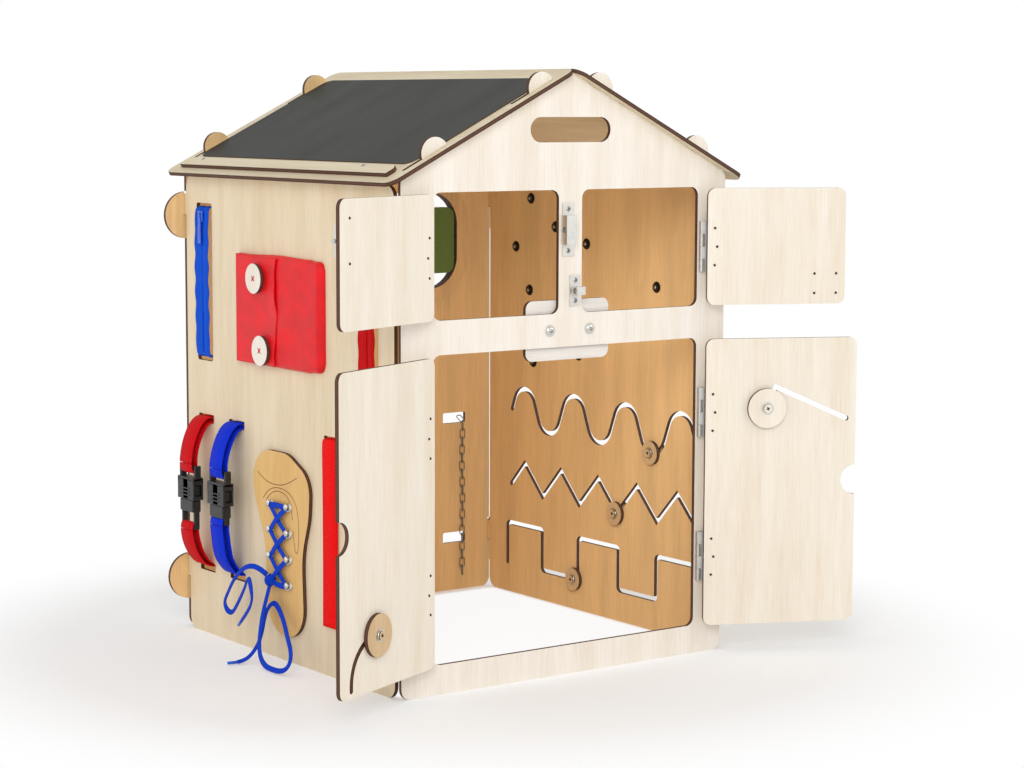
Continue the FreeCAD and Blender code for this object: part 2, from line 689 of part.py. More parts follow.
def hinge_leaf(side, height, moving):
    """One leaf, to the outside of the pin, or to the inside when it moves with the door."""
    out = side if moving else -side
    x = -pin_x * side
    leaf_front = front_face - size.leaf_thick
    low = height - hinge_length / 2
    edges = sorted((x + leaf_start * out, x + (leaf_start + size.leaf_width) * out))
    solids = [block((edges[0], leaf_front, low), (edges[1], front_face, low + hinge_length))]
    for index in (1, 3) if moving else (0, 2):
        start = low + index * size.knuckle_length + size.knuckle_play / 2
        end = start + size.knuckle_length - size.knuckle_play
        tab = sorted((x, x + (leaf_start + 1) * out))
        solids.append(rod((x, pin_y, start), (x, pin_y, end), size.knuckle_radius))
        solids.append(block((tab[0], leaf_front, start), (tab[1], front_face, end)))
    if not moving:
        solids.append(rod((x, pin_y, low), (x, pin_y, low + hinge_length), size.pin_radius))
        return joined(solids)
    pin_bore = rod((x, pin_y, low - 1), (x, pin_y, low + hinge_length + 1), size.pin_radius + size.pin_play)
    return joined(solids).cut(pin_bore)


fixed_leaves = []
hinge_heights = {
    "upper": [(size.window_bottom + window_top) / 2],
    "lower": [size.doorway_top - size.hinge_drop, size.doorway_bottom + size.hinge_rise],
}
for level, heights in hinge_heights.items():
    for side, hand in ((1, "left"), (-1, "right")):
        fixed_leaves += [hinge_leaf(side, height, False) for height in heights]
        moving = [hinge_leaf(side, height, True) for height in heights]
        piece(f"hinge_{level}_{hand}", moving, swings[f"{level}_{hand}"])
piece("hinge_fixed_leaves", fixed_leaves)

# Slide latch of the upper left door, with its finger pin

plate_front = front_face - size.plate_thick
rod_y = front_face - size.rod_height
rod_bore = size.rod_radius + size.pin_play
latch_x = -upper_edge - size.latch_inset
latch_z = window_top - size.latch_drop
latch_front = front_face - size.latch_depth
latch_half = size.latch_width / 2
block_half = size.latch_block_length / 2
plate_half = size.latch_length / 2
pin_room = 0.6
latch_low = latch_x - latch_half
latch_high = latch_x + latch_half
latch_block = block((latch_low, latch_front, latch_z - block_half), (latch_high, plate_front, latch_z + block_half))
latch_plate = block((latch_low, plate_front, latch_z - plate_half), (latch_high, front_face, latch_z + plate_half))
groove_half = size.finger_pin_radius + pin_room
groove_end = latch_high - size.finger_pin_radius * 2
latch_groove = block((latch_low - 1, latch_front - 1, latch_z - groove_half), (groove_end, rod_y, latch_z + groove_half))
latch_bore = rod((latch_low - 1, rod_y, latch_z), (latch_high + 1, rod_y, latch_z), rod_bore)
latch_housing = joined([latch_block, latch_plate]).cut(latch_groove).cut(latch_bore)
piece("latch_housing", [latch_housing], swings["upper_left"])
rod_tail = latch_low - 5.5
finger_x = rod_tail + size.finger_pin_radius - 0.1
latch_rod = joined([
    rod((rod_tail, rod_y, latch_z), (latch_high + 5.9, rod_y, latch_z), size.rod_radius),
    rod((finger_x, rod_y, latch_z), (finger_x, front_face - size.finger_pin_reach, latch_z), size.finger_pin_radius),
])
piece("latch_rod", [latch_rod], swings["upper_left"])

# Barrel bolt of the upper right door

bolt_x = upper_edge + size.bolt_inset
bolt_z = size.window_bottom + size.bolt_rise
half_plate = size.bolt_plate_width / 2
half_plate_height = size.bolt_plate_height / 2
barrel_low = bolt_x - half_plate + 4.6
barrel_high = barrel_low + size.barrel_length
plate_low = bolt_z - half_plate_height
plate_high = bolt_z + half_plate_height
bolt_plate = block((bolt_x - half_plate, plate_front, plate_low), (bolt_x + half_plate, front_face, plate_high))
barrel = rod((barrel_low, rod_y, bolt_z), (barrel_high, rod_y, bolt_z), size.barrel_radius)
foot_low = bolt_z - size.barrel_radius
foot_high = bolt_z + size.barrel_radius
barrel_foot = block((barrel_low, rod_y + 1, foot_low), (barrel_high, plate_front + 0.2, foot_high))
bolt_bore = rod((barrel_low - 1, rod_y, bolt_z), (barrel_high + 1, rod_y, bolt_z), rod_bore)
piece("barrel_bolt_housing", [joined([bolt_plate, barrel, barrel_foot]).cut(bolt_bore)], swings["upper_right"])
rod_end = barrel_high + 20
knob_x = rod_end - 4
bolt_rod = joined([
    rod((bolt_x - half_plate - 3.4, rod_y, bolt_z), (rod_end, rod_y, bolt_z), size.rod_radius),
    rod((knob_x, rod_y, bolt_z), (knob_x, rod_y - size.bolt_knob_reach, bolt_z), size.bolt_knob_radius),
])
piece("barrel_bolt_rod", [bolt_rod], swings["upper_right"])

# Keepers on the post

keeper_bore = size.rod_radius + size.keeper_play


def keeper(plate_span, loop_span, plate_half, loop_half, height, depth):
    """A flat plate with a bored block that takes the rod."""
    base = block((plate_span[0], plate_front, height - plate_half), (plate_span[1], front_face, height + plate_half))
    low, high = loop_span
    body = block((low, front_face - depth, height - loop_half), (high, plate_front + 0.2, height + loop_half))
    bore = rod((low - 1, rod_y, height), (high + 1, rod_y, height), keeper_bore)
    return joined([base, body]).cut(bore)


lower_loop = max(size.barrel_radius, keeper_bore + size.keeper_play)
lower_keeper = keeper((half_post - 14.9, half_post - 1.9), (half_post - 11.9, half_post - 1.9),
                      half_plate_height + 1, lower_loop, bolt_z, size.keeper_depth)
upper_keeper = keeper((3.9 - half_post, 17.9 - half_post), (2.9 - half_post, 14.9 - half_post),
                      plate_half - 0.5, block_half, latch_z, size.keeper_depth)
piece("bolt_keepers", [lower_keeper, upper_keeper])

# Knobs of the lower doors: a disc on each side of the door and a bolt through its slot


def knob(x, z, radius, place):
    """A knob in a plate that is drawn with y as its thickness."""
    solids = []
    for side in (1, -1):
        near = half_ply + size.knob_play
        solids.append(rod((x, side * near, z), (x, side * (near + size.ply), z), radius))
    reach = half_ply + size.knob_play + size.ply
    solids.append(rod((x, -reach - 1, z), (x, reach + 1, z), size.knob_bolt_radius))
    solids.append(rod((x, reach, z), (x, reach + size.knob_screw_reach, z), size.nut_radius))
    solids.append(rod((x, -reach, z), (x, -reach - size.knob_screw_reach, z), size.nut_radius))
    return joined(solids), place


bend_way = unit(bend_start, bend_corner)
bend_knob = (bend_start[0] + bend_way[0] * size.bend_knob_run, bend_start[1] + bend_way[1] * size.bend_knob_run)
shape, place = knob(bend_knob[0], bend_knob[1], size.knob_radius, swings["lower_right"])
piece("knob_lower_right", [shape], place)
shape, place = knob(arc_x, arc_top, size.knob_radius, swings["lower_left"])
piece("knob_lower_left", [shape], place)

# Maze knobs in the right wall

across = Placement(Vector(half_width, 0, 0), Rotation(Vector(0, 0, 1), 90))
maze_places = {
    "maze_knob_sine": (size.sine_first + half_pitch, size.sine_bottom),
    "maze_knob_zigzag": (size.zigzag_first + 1.5 * zigzag_pitch, size.zigzag_bottom),
    "maze_knob_square": (square_points[6][0] + size.square_bend + 1, size.square_bottom),
}
for name, (y, z) in maze_places.items():
    shape, place = knob(y, z, size.maze_knob_radius, across)
    piece(name, [shape], place)

# Window rings, turning panel and axle in the back wall

rings = []
for rear_y in (size.house_depth - half_ply, size.house_depth + half_ply + size.ply):
    slab = prism(window_outline(size.ring_width), size.ply, front_view(rear_y))
    rings.append(slab.cut(prism(window_outline(0), size.ply * 3, front_view(rear_y + size.ply))))
piece("window_frame", rings)
axle_start = size.window_centre_x - size.back_window_width / 2 - size.axle_reach
axle_length = size.back_window_width + 2 * size.axle_reach
groove = back_panel.newObject("PartDesign::Pocket", "axle_groove")
axle_end = axle_start + axle_length
groove_outline = box_loop(axle_start - 0.5, axle_end + 0.5, window_centre_z - rod_bore, window_centre_z + rod_bore)
groove.Profile = sketch_on(back_panel, "axle_groove_sketch", [groove_outline])
groove.Type = "ThroughAll"
groove.Reversed = True
doc.recompute()
axle = doc.addObject("Part::Cylinder", "spin_panel_axle")
axle.setExpression("Radius", "Sizes.rod_radius - Sizes.pin_play")
axle.setExpression("Height", "Sizes.back_window_width + 2 * Sizes.axle_reach")
axle.Placement = Placement(Vector(axle_start, size.house_depth, window_centre_z), Rotation(Vector(0, 1, 0), 90))
nodes.append(axle)
half_spin = size.back_window_height / 2 - size.spin_end_gap
spin_low = size.window_centre_x - size.back_window_width / 2 + size.spin_side_gap
spin_high = size.window_centre_x + size.back_window_width / 2 - size.spin_side_gap
spin_outline = box_loop(spin_low, spin_high, window_centre_z - half_spin, window_centre_z + half_spin, size.spin_corner)
spin_slab = prism(spin_outline, size.spin_thick, front_view(size.house_depth + size.spin_thick / 2))
spin_bore = rod((spin_low - 1, size.house_depth, window_centre_z), (spin_high + 1, size.house_depth, window_centre_z),
                size.rod_radius)
piece("spin_panel", [spin_slab.cut(spin_bore)])

# Cords: straight runs joined by tangent arcs


def tube(label, points, radius):
    """A cord's solid along these points, with each arc as large as its two runs allow."""
    points = [Vector(*point) for point in points]
    edges = []
    last = points[0]
    radii = []
    for before, corner, after in zip(points, points[1:], points[2:]):
        into = (corner - before).normalize()
        out = (after - corner).normalize()
        half_turn = into.getAngle(out) / 2
        reach = 0.45 * min((corner - before).Length, (after - corner).Length)
        bend = reach / math.tan(half_turn)
        radii.append(bend)
        start = corner - into * reach
        end = corner + out * reach
        inward = (out - into).normalize()
        middle = corner + inward * (bend / math.cos(half_turn) - bend)
        edges.append(Part.LineSegment(last, start).toShape())
        edges.append(Part.Arc(start, middle, end).toShape())
        last = end
    edges.append(Part.LineSegment(last, points[-1]).toShape())
    path = Part.Wire(edges)
    along = (points[1] - points[0]).normalize()
    section = Part.Wire([Part.Circle(points[0], along, radius).toShape()])
    solid = path.makePipeShell([section], True, False)
    expected = math.pi * radius ** 2 * path.Length
    print(label, "length", round(path.Length, 1), "radii", [round(bend, 1) for bend in radii],
          "volume ratio", round(solid.Volume / expected, 4))
    piece(label, [solid])


chain_y = size.house_depth - half_ply - size.chain_radius - 1
chain_top = size.chain_slot_high
tube("pull_chain", [
    (size.chain_x, size.house_depth + 4, chain_top),
    (size.chain_x, chain_y, chain_top - 1),
    (size.chain_x + 0.4, chain_y - 0.6, chain_top - 14),
    (size.chain_x - 0.6, chain_y, chain_top - 44),
    (size.chain_x + 0.5, chain_y - 0.5, chain_top - 92),
    (size.chain_x - 0.5, chain_y - 0.2, chain_top - 140),
    (size.chain_x, chain_y - 0.4, chain_top - size.chain_length),
], size.chain_radius)

# Zips of the left wall: a bowed tape through the slot's ends, and a slider with its pull

tape_middle = wall_face - size.tape_bow
inside = wall_face + size.ply
tape_path = band([
    (inside + 2.5, zip_slot_top - 4, 0),
    (tape_middle, zip_slot_top - 5, 4),
    (tape_middle, size.zip_slot_bottom + 5, 4),
    (inside + 2.5, size.zip_slot_bottom + 4, 0),
], size.tape_thick, False)
slider_back = tape_middle - size.tape_thick / 2 - 0.3
for colour, middle in (("blue", blue_zip_y), ("red", size.red_zip_y)):
    plate(colour + "_zip_tape", [tape_path], "Sizes.tape_width", front_view(middle + size.tape_width / 2))
    slider_top = zip_slot_top - 8
    slider = block((slider_back - 3, middle - 5, slider_top - 12), (slider_back, middle + 5, slider_top))
    pull = block((slider_back - 3, middle - 3, slider_top - 34), (slider_back - 1.5, middle + 3, slider_top - 4))
    piece(colour + "_zip_slider", [joined([slider, pull])])

# Wallet: pocket, flap and buttons

pocket_face = wall_face - size.wallet_thick
wallet_far = size.house_depth - size.wallet_inset
pocket = block((pocket_face, size.wallet_near, size.wallet_bottom), (wall_face, wallet_far, size.wallet_top))
pocket_edges = [edge for edge in pocket.Edges if abs(edge.CenterOfMass.x - pocket_face) < 0.01]
piece("wallet_pocket", [pocket.makeFillet(3, pocket_edges)])
flap_face = pocket_face - size.flap_thick
flap_far = wallet_far - size.flap_margin
flap_edge = flap_far - size.flap_width
flap = block((flap_face, flap_edge, size.wallet_bottom + 1), (pocket_face, flap_far, size.wallet_top - 1))
piece("wallet_flap", [flap])
button_face = flap_face - size.button_thick
button_places = [(wallet_far - 47.3, size.wallet_top - 24.3), (wallet_far - 58.6, size.wallet_bottom + 16)]
piece("wallet_buttons", [rod((button_face, y, z), (flap_face, y, z), size.button_radius) for y, z in button_places])

# Straps with side-release buckles

buckle_x = wall_face - size.buckle_out
outer_fold = wall_face - 9


def strap(label, middle, slot_z, end_z):
    """Doubled webbing from its slot to a bar of the buckle."""
    path = [(inside + 4, slot_z, 0), (outer_fold, slot_z, 8), (buckle_x, end_z, 0)]
    plate(label, [band(path, size.strap_thick, False)], "Sizes.strap_width", front_view(middle + size.strap_width / 2))


def buckle_socket(middle, top):
    half_thick = size.buckle_thick / 2
    half_wide = size.buckle_width / 2
    wall = size.buckle_wall
    bottom = top - size.socket_length
    outer = block((buckle_x - half_thick, middle - half_wide, bottom), (buckle_x + half_thick, middle + half_wide, top))
    hollow = block((buckle_x - half_thick + wall, middle - half_wide + wall, bottom - 1),
                   (buckle_x + half_thick - wall, middle + half_wide - wall, top - 9))
    return outer.cut(hollow)


def buckle_plug(label, middle, top, length):
    room = size.buckle_wall + 0.5
    half_thick = size.buckle_thick / 2 - room
    half_wide = size.buckle_width / 2 - room
    socket_bottom = top - size.socket_length
    base_top = socket_bottom - 0.4
    base_half = half_thick + 1
    near = middle - half_wide
    far = middle + half_wide
    solids = [block((buckle_x - base_half, near, base_top - length), (buckle_x + base_half, far, base_top))]
    prong = 2
    for offset in (prong - half_wide, 0, half_wide - prong):
        solids.append(block((buckle_x - half_thick, middle + offset - prong, base_top - 1),
                            (buckle_x + half_thick, middle + offset + prong, base_top + size.prong_length)))
    piece(label, [joined(solids)])


sockets = []
for colour, middle, top, length in (("red", red_strap_y, size.red_buckle_top, size.red_plug_length),
                                    ("blue", blue_strap_y, size.blue_buckle_top, size.blue_plug_length)):
    plug_bottom = top - size.socket_length - 0.4 - length
    strap(colour + "_strap_upper", middle, size.strap_high, top + 1)
    strap(colour + "_strap_lower", middle, size.strap_low, plug_bottom - 1)
    sockets.append(buckle_socket(middle, top))
    buckle_plug(colour + "_buckle_plug", middle, top, length)
piece("buckle_sockets", sockets)

# Hook-and-loop strap, hanging from its slot

velcro_slot_z = size.strap_high + 4.5
velcro_x = wall_face - 2
velcro_path = [(inside + 3, velcro_slot_z, 0), (velcro_x, velcro_slot_z, 2), (velcro_x, size.velcro_bottom, 0)]
plate("velcro_strap", [band(velcro_path, size.velcro_thick, False)], "Sizes.strap_width",
      front_view(size.velcro_y + size.strap_width / 2))

# Shoe board with its hooks and lace

# The outline's corners, from the shoe's middle, with their roundings
SHOE_OUTLINE = [(25, 26.8, 31), (31.5, 118, 90), (55.5, 170, 60), (50, 210.6, 33), (-13, 210.6, 40),
                (-55.5, 190, 28), (-52.5, 150, 60), (-39.5, 112, 90), (-42, 60, 60), (-41.5, 26.8, 31)]
shoe_middle = house_middle + size.shoe_shift
shoe_outline = [(shoe_middle + y, z, radius) for y, z, radius in SHOE_OUTLINE]
plate("shoe_board", [loop(shoe_outline)], "Sizes.ply", side_view(wall_face - size.ply))
shoe_face = wall_face - size.ply
hook_tip = shoe_face - size.hook_reach
hook_far_y = shoe_middle + size.hook_far
hook_near_y = shoe_middle - size.hook_near
hook_heights = [size.hook_top - step * size.hook_pitch for step in range(4)]
hooks = []
hook_room = []
for y in (hook_far_y, hook_near_y):
    for z in hook_heights:
        hooks.append(joined([
            rod((shoe_face, y, z), (shoe_face - size.hook_plate, y, z), size.hook_base_radius),
            rod((shoe_face, y, z), (hook_tip, y, z), size.hook_stem_radius),
            rod((hook_tip + size.hook_plate, y, z), (hook_tip, y, z), size.hook_head_radius),
        ]))
        hook_room.append(rod((shoe_face, y, z), (hook_tip - size.knot_radius, y, z), size.hook_base_radius + 0.3))
piece("lace_hooks", hooks)
lace_back = shoe_face - size.lace_gap


def lace_bar(first, second):
    path = [(first[0], first[1], 0), (second[0], second[1], 0)]
    return prism(band(path, size.lace_width, False), size.lace_thick, side_view(lace_back - size.lace_thick))


lace_end = 6
lace_far = hook_far_y - lace_end
lace_near = hook_near_y + lace_end
bars = [lace_bar((lace_far + 1, size.hook_top), (lace_near - 1, size.hook_top))]
for top, low in zip(hook_heights, hook_heights[1:]):
    bars.append(lace_bar((lace_far, top), (lace_near, low)))
    bars.append(lace_bar((lace_near, top), (lace_far, low)))
knot_place = (lace_back - 3.5, shoe_middle + 11, hook_heights[-1] + 2.9)
knot = Part.makeSphere(size.knot_radius, Vector(*knot_place))
bars.append(lace_bar((lace_near, hook_heights[-1]), (knot_place[1], knot_place[2])))
knot_y, knot_z = knot_place[1:]
shoe_room = rod((shoe_face, knot_y, knot_z), (shoe_face + size.knot_radius, knot_y, knot_z), size.knot_radius * 2)
piece("lacing", [joined(bars + [knot]).cut(shoe_room.multiFuse(hook_room))])

# The bows of the lace, each a loop and a tail

tube("lace_strand_left", [
    (-208.5, 222, 86), (-213, 231, 93), (-219, 243, 93), (-221, 258, 83), (-220, 272, 71), (-218, 284, 59),
    (-217, 294, 48), (-216, 291, 39), (-215, 281.5, 37), (-215.5, 271, 47), (-217, 259, 59), (-220, 246, 70.5),
    (-224, 234, 81), (-228, 223, 83.5), (-230.5, 215.5, 76), (-229, 216, 65), (-226, 225, 55), (-223, 240, 43.5),
    (-220, 254, 34.5),
], size.lace_radius)
tube("lace_strand_right", [
    (-212, 211, 76), (-219, 207, 62), (-226, 203, 45), (-231, 199, 27), (-235, 192, 13), (-237, 179, 5),
    (-237, 164, 4), (-236, 150, 4.5), (-234.5, 140.5, 8.5), (-232, 136.5, 17.5), (-229, 142, 27), (-223, 157, 33),
    (-217, 171, 39), (-212, 184, 46.5), (-209.5, 196, 55), (-209, 207, 61), (-211, 216, 54), (-214, 218, 43),
    (-218, 215, 32), (-224, 212, 20), (-231, 213, 10), (-238, 215, 4), (-246, 217, 2.6),
], size.lace_radius)
aglet_left = rod((-220, 254, 34.5), (-217.9, 263, 28.6), size.aglet_radius)
aglet_right = rod((-246, 217, 2.6), (-255.5, 219.6, 2.4), size.aglet_radius)
piece("aglets", [aglet_left, aglet_right])

# Wall bolts, gears and finger wheel

right_outer = half_width + half_ply
head_start = right_outer + size.ply + 2 * size.gear_play
bolts = []
for y, z in wall_bolt_places:
    head = head_start if (y, z) in turning_places else right_outer
    bolts.append(joined([
        rod((right_inner - size.nut_thick, y, z), (head + 1, y, z), size.wall_bolt_radius),
        rod((right_inner - size.nut_thick, y, z), (right_inner, y, z), size.nut_radius),
        rod((head, y, z), (head + 2, y, z), size.nut_radius),
    ]))
for side in (1, -1):
    x = side * size.stop_bolt_offset
    stop_back = half_ply + size.ply
    bolts.append(joined([
        rod((x, front_face - 1, stop_bolt_z), (x, stop_back + 1, stop_bolt_z), size.wall_bolt_radius),
        rod((x, front_face - 1.8, stop_bolt_z), (x, front_face, stop_bolt_z), size.nut_radius),
        rod((x, stop_back, stop_bolt_z), (x, stop_back + size.nut_thick, stop_bolt_z), size.nut_radius),
    ]))
piece("wall_bolts", bolts)

bore = size.wall_bolt_radius + size.pin_play
gear_side = side_view(right_outer + size.gear_play)


def gear_outline(y, z, teeth, turn):
    """Slender wooden teeth with room between them."""
    radius = size.gear_module * teeth / 2
    root = radius - 1.15 * size.gear_module
    tip = radius + 0.85 * size.gear_module
    step = 2 * math.pi / teeth
    corners = []
    for index in range(teeth):
        middle = math.radians(turn) + index * step
        for reach, share, corner in ((root, -0.29, 0), (tip, -0.1, 0.5), (tip, 0.1, 0.5), (root, 0.29, 0)):
            angle = middle + share * step
            corners.append((y + reach * math.cos(angle), z + reach * math.sin(angle), corner))
    return loop(corners)


for name, (y, z) in gear_place.items():
    plate(name, [gear_outline(y, z, gear_teeth[name], gear_turn[name]), ring(y, z, bore)], "Sizes.ply", gear_side)
wheel_y, wheel_z = wheel_place
wheel_holes = []
for index in range(5):
    angle = math.radians(72 * index)
    reach = size.wheel_radius * 0.6
    wheel_holes.append(ring(wheel_y + reach * math.cos(angle), wheel_z + reach * math.sin(angle), size.wheel_hole_radius))
plate("finger_wheel", [ring(wheel_y, wheel_z, size.wheel_radius), ring(wheel_y, wheel_z, bore)] + wheel_holes,
      "Sizes.ply", gear_side)

# Tests, then one file for each sub-part

doc.recompute()
for item in doc.Objects:
    if "Invalid" in item.State or "Error" in item.State:
        raise ValueError(item.Label + " failed: " + str(item.State))
for node in nodes:
    if node.Shape.isNull() or not node.Shape.isValid():
        raise ValueError(node.Label + " has no valid shape")
for node in nodes:
    node.Shape.exportStep(f"parts/{node.Label}.step")
print(len(nodes), "sub-parts")
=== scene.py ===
import math

import bmesh
import bpy
from mathutils import Matrix, Vector


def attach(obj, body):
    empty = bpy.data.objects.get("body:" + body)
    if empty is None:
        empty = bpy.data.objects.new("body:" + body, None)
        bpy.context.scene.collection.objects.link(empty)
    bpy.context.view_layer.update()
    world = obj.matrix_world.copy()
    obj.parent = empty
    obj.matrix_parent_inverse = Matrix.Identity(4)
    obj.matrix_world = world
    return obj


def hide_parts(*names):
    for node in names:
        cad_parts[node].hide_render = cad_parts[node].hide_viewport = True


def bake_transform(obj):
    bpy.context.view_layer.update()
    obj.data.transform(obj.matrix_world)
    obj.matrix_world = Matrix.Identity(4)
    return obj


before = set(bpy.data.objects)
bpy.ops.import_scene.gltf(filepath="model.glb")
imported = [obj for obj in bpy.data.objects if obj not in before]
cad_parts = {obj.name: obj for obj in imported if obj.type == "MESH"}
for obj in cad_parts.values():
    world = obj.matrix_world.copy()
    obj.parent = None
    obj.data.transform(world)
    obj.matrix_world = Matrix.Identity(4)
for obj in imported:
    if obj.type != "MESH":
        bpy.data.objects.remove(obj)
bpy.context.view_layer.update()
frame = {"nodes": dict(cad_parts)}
nodes = frame["nodes"]

# Camera
# It stands about 2.3 m away, at the height of the roof's edge, and looks across the house
# from its front left corner, a little downwards, with a moderately long lens.

eye = Vector((-1.4216, -1.8675, 0.5534))
yaw = math.radians(35.95)
downward = math.radians(6.52)
roll = math.radians(0.19)
forward = Vector((math.sin(yaw) * math.cos(downward), math.cos(yaw) * math.cos(downward),
                  -math.sin(downward)))
level_right = Vector((math.cos(yaw), -math.sin(yaw), 0))
level_up = level_right.cross(forward)
right = level_right * math.cos(roll) + level_up * math.sin(roll)
up = right.cross(forward)
camera_data = bpy.data.cameras.new("camera")
camera_data.lens = 85.8
camera_data.sensor_width = 36
camera = bpy.data.objects.new("camera", camera_data)
camera.matrix_world = Matrix((
    (right.x, up.x, -forward.x, eye.x),
    (right.y, up.y, -forward.y, eye.y),
    (right.z, up.z, -forward.z, eye.z),
    (0, 0, 0, 1),
))
bpy.context.scene.collection.objects.link(camera)
bpy.context.scene.camera = camera

# Shoe lace
# A flat braided polyester lace, about 5 mm wide. Its two ends leave the knot on the shoe board
# as a bow: each end makes a loop that goes back to the knot and then hangs down as a tail.


class Term:
    """A socket that Python arithmetic turns into Math nodes."""

    def __init__(self, nodes, socket):
        self.nodes = nodes
        self.socket = socket

    def sum(self, operation, *terms):
        return self.nodes.add("ShaderNodeMath", {"operation": operation}, dict(enumerate(terms)))

    def __add__(self, other):
        return self.sum("ADD", self, other)

    def __radd__(self, other):
        return self.sum("ADD", other, self)

    def __sub__(self, other):
        return self.sum("SUBTRACT", self, other)

    def __rsub__(self, other):
        return self.sum("SUBTRACT", other, self)

    def __mul__(self, other):
        return self.sum("MULTIPLY", self, other)

    def __rmul__(self, other):
        return self.sum("MULTIPLY", other, self)

    def __truediv__(self, other):
        return self.sum("DIVIDE", self, other)

    def __abs__(self):
        return self.sum("ABSOLUTE", self)

    def sine(self):
        return self.sum("SINE", self)

    def fraction(self):
        return self.sum("FRACT", self)

    def root(self):
        return self.sum("SQRT", self)

    def larger(self, other):
        return self.sum("MAXIMUM", self, other)

    def rise(self, low, high):
        """0 below low, 1 above high, and a smooth step between them."""
        return self.nodes.add("ShaderNodeMapRange", {"interpolation_type": "SMOOTHSTEP"},
                              {"Value": self, "From Min": low, "From Max": high})


class Nodes:
    """Adds nodes to one tree."""

    def __init__(self, tree):
        self.tree = tree

    def add(self, kind, settings, inputs, output=0):
        """One node: its settings first, then the values or links of its sockets. Gives one output."""
        node = self.tree.nodes.new(kind)
        for name, value in settings.items():
            if name == "stops":
                self.set_stops(node.color_ramp, value)
            else:
                setattr(node, name, value)
        for key, value in inputs.items():
            self.feed(node.inputs[key], value)
        return Term(self, node.outputs[output])

    def set_stops(self, ramp, stops):
        while len(ramp.elements) < len(stops):
            ramp.elements.new(1)
        for element, (position, colour) in zip(ramp.elements, stops):
            element.position = position
            element.color = (*colour, 1)

    def feed(self, socket, value):
        if isinstance(value, Term):
            self.tree.links.new(value.socket, socket)
        elif isinstance(value, tuple) and len(value) == 3 and socket.type == "RGBA":
            socket.default_value = (*value, 1)
        else:
            socket.default_value = value

    def vector(self, x, y, z):
        return self.add("ShaderNodeCombineXYZ", {}, {"X": x, "Y": y, "Z": z})

    def dot(self, first, second):
        return self.add("ShaderNodeVectorMath", {"operation": "DOT_PRODUCT"}, {0: first, 1: second}, "Value")


class Finish(Nodes):
    """A material in the making."""

    def __init__(self, name, roughness=0.5, metallic=0.0):
        self.material = bpy.data.materials.new(name)
        self.material.use_nodes = True
        super().__init__(self.material.node_tree)
        self.shader = self.tree.nodes["Principled BSDF"]
        self.set("Roughness", roughness)
        self.set("Metallic", metallic)

    def set(self, socket, value):
        self.feed(self.shader.inputs[socket], value)

    def coordinate(self, kind):
        return self.add("ShaderNodeTexCoord", {}, {}, kind)

    def parts(self, vector):
        split = self.tree.nodes.new("ShaderNodeSeparateXYZ")
        self.feed(split.inputs[0], vector)
        return [Term(self, output) for output in split.outputs]

    def noise(self, vector, scale=1.0, detail=2.0, roughness=0.5):
        sockets = {"Vector": vector, "Scale": scale, "Detail": detail, "Roughness": roughness}
        return self.add("ShaderNodeTexNoise", {}, sockets)

    def mix(self, share, first, second):
        return self.add("ShaderNodeMix", {"data_type": "RGBA"}, {0: share, 6: first, 7: second}, 2)

    def bump(self, height, distance, strength=1.0):
        sockets = {"Height": height, "Distance": distance, "Strength": strength}
        self.set("Normal", self.add("ShaderNodeBump", {}, sockets))


def paint(red, green, blue):
    """A colour as a screen shows it, from 0 to 255, in the renderer's own linear scale."""
    shades = [value / 255 for value in (red, green, blue)]
    return tuple(shade / 12.92 if shade <= 0.04045 else ((shade + 0.055) / 1.055) ** 2.4 for shade in shades)


def show(name, mesh, *finishes):
    """A new object at the origin with this mesh and these finishes."""
    thing = bpy.data.objects.new(name, mesh)
    for finish in finishes:
        mesh.materials.append(finish.material)
    bpy.context.scene.collection.objects.link(thing)
    return thing


def dress(thing, body, slot, *replaced):
    """Makes a piece ride on a body and stand for CAD pieces. Its slot is not used."""
    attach(thing, body)
    if replaced:
        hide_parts(*replaced)


def smooth_line(points):
    """The smooth line that a cord follows: a NURBS spline with these control points, as points."""
    curve = bpy.data.curves.new("route", "CURVE")
    curve.dimensions = "3D"
    curve.resolution_u = 10
    spline = curve.splines.new("NURBS")
    spline.points.add(len(points) - 1)
    for point, place in zip(spline.points, points):
        point.co = (*place, 1)
    spline.order_u = 3
    spline.use_endpoint_u = True
    holder = bpy.data.objects.new("route", curve)
    mesh = bpy.data.meshes.new_from_object(holder)
    line = [vertex.co.copy() for vertex in mesh.vertices]
    bpy.data.objects.remove(holder)
    bpy.data.curves.remove(curve)
    bpy.data.meshes.remove(mesh)
    return line


def tangent(line, index):
    return (line[min(index + 1, len(line) - 1)] - line[max(index - 1, 0)]).normalized()


def flat_ring(width, thickness, corner_share=0.35):
    """A rounded flat section as (across, out) pairs, in order round it."""
    half = width / 2
    rise = thickness / 2
    corner = rise * corner_share
    return [(-half, -rise + corner), (-half + corner, -rise), (0, -rise), (half - corner, -rise),
            (half, -rise + corner),
            (half, rise - corner), (half - corner, rise), (0, rise), (-half + corner,
                                                                      rise), (-half, rise - corner)]


